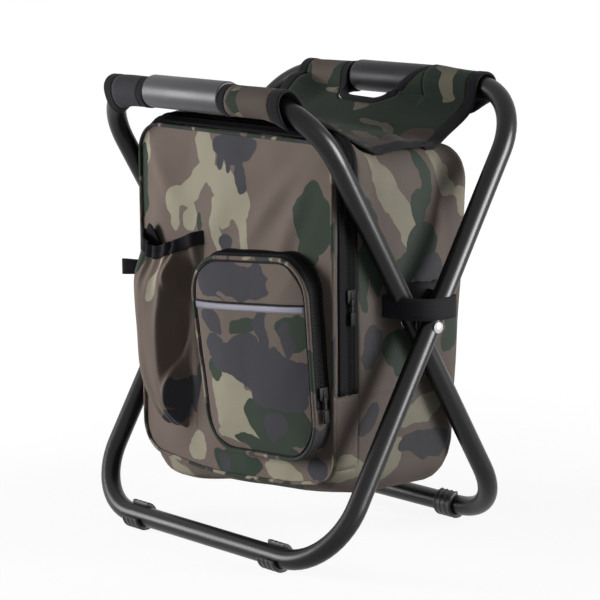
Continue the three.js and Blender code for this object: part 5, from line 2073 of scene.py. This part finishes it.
def build_strap_tail(side, sign, strap_top):
    """Crumpled inner run of a leg strap, flat on the bag above the loop."""

    def place(u, v):
        y = mix(*TAIL_RUN, u)
        ragged = 3 * MM * wobble(u * 7, 2, sign)
        z = strap_top - TAIL_DROP + (TAIL_WIDTH + ragged) * v - 3 * MM * u
        x = BAG_HIGH.x + (2.6 + 0.9 * math.sin(u * 9 + 2 * v)) * MM
        return Vector((sign * x, y, z))

    tail = webbing_piece("leg_loop_tail_" + side, sheet_mesh(24, 4, place, Vector((0, 0, strap_top))))
    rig.ride(thicken(tail, STRAP_THICKNESS, 0.0), "bag")


def build_side_tab():
    """Folded webbing tab in the left seam of the front panel."""
    corners = [(0, 0), (-9, -5), (-16, -9), (-17.5, -11), (-15, -12.5), (-8, -9), (0, -3)]
    root = Vector((-BAG_HIGH.x, FRONT_Y, 0))
    line = rounded_line([root + Vector((x * MM, y * MM, 0)) for x, y in corners], 2)
    count = len(line) - 1

    def place(u, v):
        spot = line[round(u * count)].copy()
        spot.z = mix(*SIDE_TAB_Z, v) + 2 * MM * math.sin(math.pi * u) * (v - 0.5)
        return spot

    tab = webbing_piece("side_tab", sheet_mesh(count, 3, place, root + Vector((-0.008, -0.006, 0.25))))
    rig.ride(thicken(tab, STRAP_THICKNESS, 0.0), "front_flap")


def build_tabs():
    for end in ("front", "rear"):
        for side, sign in SIDES:
            node = f"hang_tab_{end}_{side}"
            low, high = node_box(node)
            x = (low.x + high.x) / 2

            def place(u, v):
                z = mix(low.z - 5 * MM, high.z + 1 * MM, v)
                return Vector((x + sign * 3 * MM * (1 - v) ** 2, mix(low.y, high.y, u), z))

            inside = Vector((0, (low.y + high.y) / 2, low.z))
            tab = webbing_piece(f"hang_loop_{end}_{side}", sheet_mesh(4, 10, place, inside), node)
            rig.ride(thicken(tab, TAB_THICKNESS, 0.0), "bag")


# Stage


WHITE = (1, 1, 1, 1)
FLOOR_GREY = (0.2, 0.2, 0.2, 1)
DIM_BLUE = (0.95, 0.97, 1.0, 1)


def floor_material():
    """Paint that keeps shadows, with a glow for seen rays that whitens away from the stool."""
    shader = Shader("studio_white")
    shader.tree.nodes.remove(shader.body)
    strength = shader.range(shader.length(shader.place()), 0.3, 1.1, 0.9, 1.0)
    glow = {"Color": WHITE, "Strength": shader.math("MULTIPLY", shader.seen(), strength)}
    layers = {
        0: shader.add("ShaderNodeBsdfDiffuse", {"Color": FLOOR_GREY}).outputs[0],
        1: shader.add("ShaderNodeEmission", glow).outputs[0],
    }
    shader.show("Material Output", shader.add("ShaderNodeAddShader", layers).outputs[0])
    return shader.material


def build_floor():
    bm = bmesh.new()
    bmesh.ops.create_grid(bm, x_segments=4, y_segments=4, size=12.0)
    mesh = bpy.data.meshes.new("studio_floor")
    bm.to_mesh(mesh)
    bm.free()
    mesh.materials.append(floor_material())
    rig.stage(link_object("studio_floor", mesh))


def build_world():
    """Dim surroundings that light the stool and are seen as plain white."""
    world = bpy.data.worlds.new("studio")
    bpy.context.scene.world = world
    world.use_nodes = True
    nodes = Nodes(world.node_tree)
    dim = world.node_tree.nodes["Background"]
    nodes.feed(dim.inputs["Color"], DIM_BLUE)
    nodes.feed(dim.inputs["Strength"], 0.07)
    white = nodes.add("ShaderNodeBackground", {"Color": WHITE, "Strength": 1.0})
    layers = {0: nodes.seen(), 1: dim.outputs[0], 2: white.outputs[0]}
    nodes.show("World Output", nodes.add("ShaderNodeMixShader", layers).outputs[0])


def aim(position, target):
    """Rotation that looks from a position to a target, upright."""
    return (target - position).to_track_quat("-Z", "Y").to_matrix().to_4x4()


# Soft lights: place, width, height and power
LIGHTS = {
    "key_softbox": ((-1.55, -1.6, 0.45), 1.0, 1.0, 48),
    "right_strip": ((1.7, 0.9, 0.6), 0.42, 1.3, 17),
    "front_fill": ((1.3, -1.7, 0.5), 1.0, 1.0, 1.5),
    "glint_card": ((1.75, 0.6, 0.55), 0.75, 1.4, 100),
}
LIGHT_TARGET = Vector((0, 0, 0.22))


def build_lights():
    """Soft lights round the stool, of which the glint card only shows in mirrored light."""
    for name, (place, width, height, power) in LIGHTS.items():
        data = bpy.data.lights.new(name, "AREA")
        data.shape = "RECTANGLE"
        data.size = width
        data.size_y = height
        data.energy = power
        lamp = link_object(name, data)
        lamp.matrix_world = Matrix.Translation(place) @ aim(Vector(place), LIGHT_TARGET)
        lamp.visible_diffuse = name != "glint_card"


CAMERA_PLACE = Vector((1.7107, -1.5341, 0.6326))
CAMERA_TARGET = Vector((-0.00257, 0, 0.2202))
CAMERA_ROLL = math.radians(-0.52)
CAMERA_LENS = 146.9
CAMERA_SENSOR = 36


def build_camera():
    data = bpy.data.cameras.new("photo_camera")
    data.lens = CAMERA_LENS
    data.sensor_width = CAMERA_SENSOR
    camera = link_object("photo_camera", data)
    look = aim(CAMERA_PLACE, CAMERA_TARGET)
    camera.matrix_world = Matrix.Translation(CAMERA_PLACE) @ look @ Matrix.Rotation(CAMERA_ROLL, 4, "Z")
    bpy.context.scene.camera = camera


def build_stage():
    bpy.context.scene.view_settings.view_transform = "Standard"
    build_floor()
    build_world()
    build_lights()
    build_camera()


class STOOL_OT_frame(bpy.types.Operator):
    """Bent tube loops, pivot rivets and spacers."""

    bl_idname = "stool.frame"
    bl_label = "Frame"

    def execute(self, context):
        build_frame()
        return {"FINISHED"}


class STOOL_OT_grips(bpy.types.Operator):
    """Moulded hand grips on the two top bars."""

    bl_idname = "stool.grips"
    bl_label = "Grips"

    def execute(self, context):
        build_grips()
        return {"FINISHED"}


class STOOL_OT_feet(bpy.types.Operator):
    """Ribbed foot clips on the two floor bars."""

    bl_idname = "stool.feet"
    bl_label = "Feet"

    def execute(self, context):
        build_feet()
        return {"FINISHED"}


class STOOL_OT_seat(bpy.types.Operator):
    """Sling seat with its sleeves and black edge binding."""

    bl_idname = "stool.seat"
    bl_label = "Seat"

    def execute(self, context):
        build_seat()
        return {"FINISHED"}


class STOOL_OT_bag(bpy.types.Operator):
    """Insulated bag with its silver lining."""

    bl_idname = "stool.bag"
    bl_label = "Bag"

    def execute(self, context):
        build_bag()
        return {"FINISHED"}


class STOOL_OT_flap(bpy.types.Operator):
    """Front flap with its piping."""

    bl_idname = "stool.flap"
    bl_label = "Flap"

    def execute(self, context):
        build_flap()
        return {"FINISHED"}


class STOOL_OT_zips(bpy.types.Operator):
    """Main zip with its tapes, teeth, slider and pull, and the pocket's slider and pull."""

    bl_idname = "stool.zips"
    bl_label = "Zips"

    def execute(self, context):
        build_zips()
        return {"FINISHED"}


class STOOL_OT_pocket(bpy.types.Operator):
    """Zipped front pocket with its reflective strip."""

    bl_idname = "stool.pocket"
    bl_label = "Front pocket"

    def execute(self, context):
        build_pocket()
        return {"FINISHED"}


class STOOL_OT_bottle(bpy.types.Operator):
    """Slack bottle pocket with an elastic rim."""

    bl_idname = "stool.bottle"
    bl_label = "Bottle pocket"

    def execute(self, context):
        build_bottle_pocket()
        return {"FINISHED"}


class STOOL_OT_webbing(bpy.types.Operator):
    """Leg straps and hanger tabs."""

    bl_idname = "stool.webbing"
    bl_label = "Webbing"

    def execute(self, context):
        build_straps()
        build_tabs()
        return {"FINISHED"}


class STOOL_OT_stage(bpy.types.Operator):
    """White floor, soft lights and the camera."""

    bl_idname = "stool.stage"
    bl_label = "Stage"

    def execute(self, context):
        build_stage()
        return {"FINISHED"}


OPERATORS = [
    STOOL_OT_frame,
    STOOL_OT_grips,
    STOOL_OT_feet,
    STOOL_OT_seat,
    STOOL_OT_bag,
    STOOL_OT_flap,
    STOOL_OT_zips,
    STOOL_OT_pocket,
    STOOL_OT_bottle,
    STOOL_OT_webbing,
    STOOL_OT_stage,
]


class STOOL_PT_panel(bpy.types.Panel):
    """Lists the stool's pieces, sizes and colours."""

    bl_label = "Folding cooler stool"
    bl_idname = "STOOL_PT_panel"
    bl_space_type = "VIEW_3D"
    bl_region_type = "UI"
    bl_category = "Stool"

    def draw(self, context):
        for operator in OPERATORS:
            self.layout.operator(operator.bl_idname)
        for group in (context.scene.stool_sizes, context.scene.stool_colours):
            column = self.layout.column()
            for key in group.bl_rna.properties.keys():
                if key not in ("rna_type", "name"):
                    column.prop(group, key)


CLASSES = [StoolSizes, StoolColours, *OPERATORS, STOOL_PT_panel]


def register():
    for item in CLASSES:
        bpy.utils.register_class(item)
    bpy.types.Scene.stool_sizes = PointerProperty(type=StoolSizes)
    bpy.types.Scene.stool_colours = PointerProperty(type=StoolColours)


def unregister():
    del bpy.types.Scene.stool_sizes
    del bpy.types.Scene.stool_colours
    for item in reversed(CLASSES):
        bpy.utils.unregister_class(item)


def main():
    register()
    bpy.ops.stool.frame()
    bpy.ops.stool.grips()
    bpy.ops.stool.feet()
    bpy.ops.stool.seat()
    bpy.ops.stool.bag()
    bpy.ops.stool.flap()
    bpy.ops.stool.zips()
    bpy.ops.stool.pocket()
    bpy.ops.stool.bottle()
    bpy.ops.stool.webbing()
    bpy.ops.stool.stage()
    boxes = {"cad": [list(corner) for corner in CAD_BOX], "visual": [list(corner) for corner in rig.bounds()]}
    with open("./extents.json", "w") as out:
        json.dump(boxes, out)


if __name__ == "__main__":
    main()
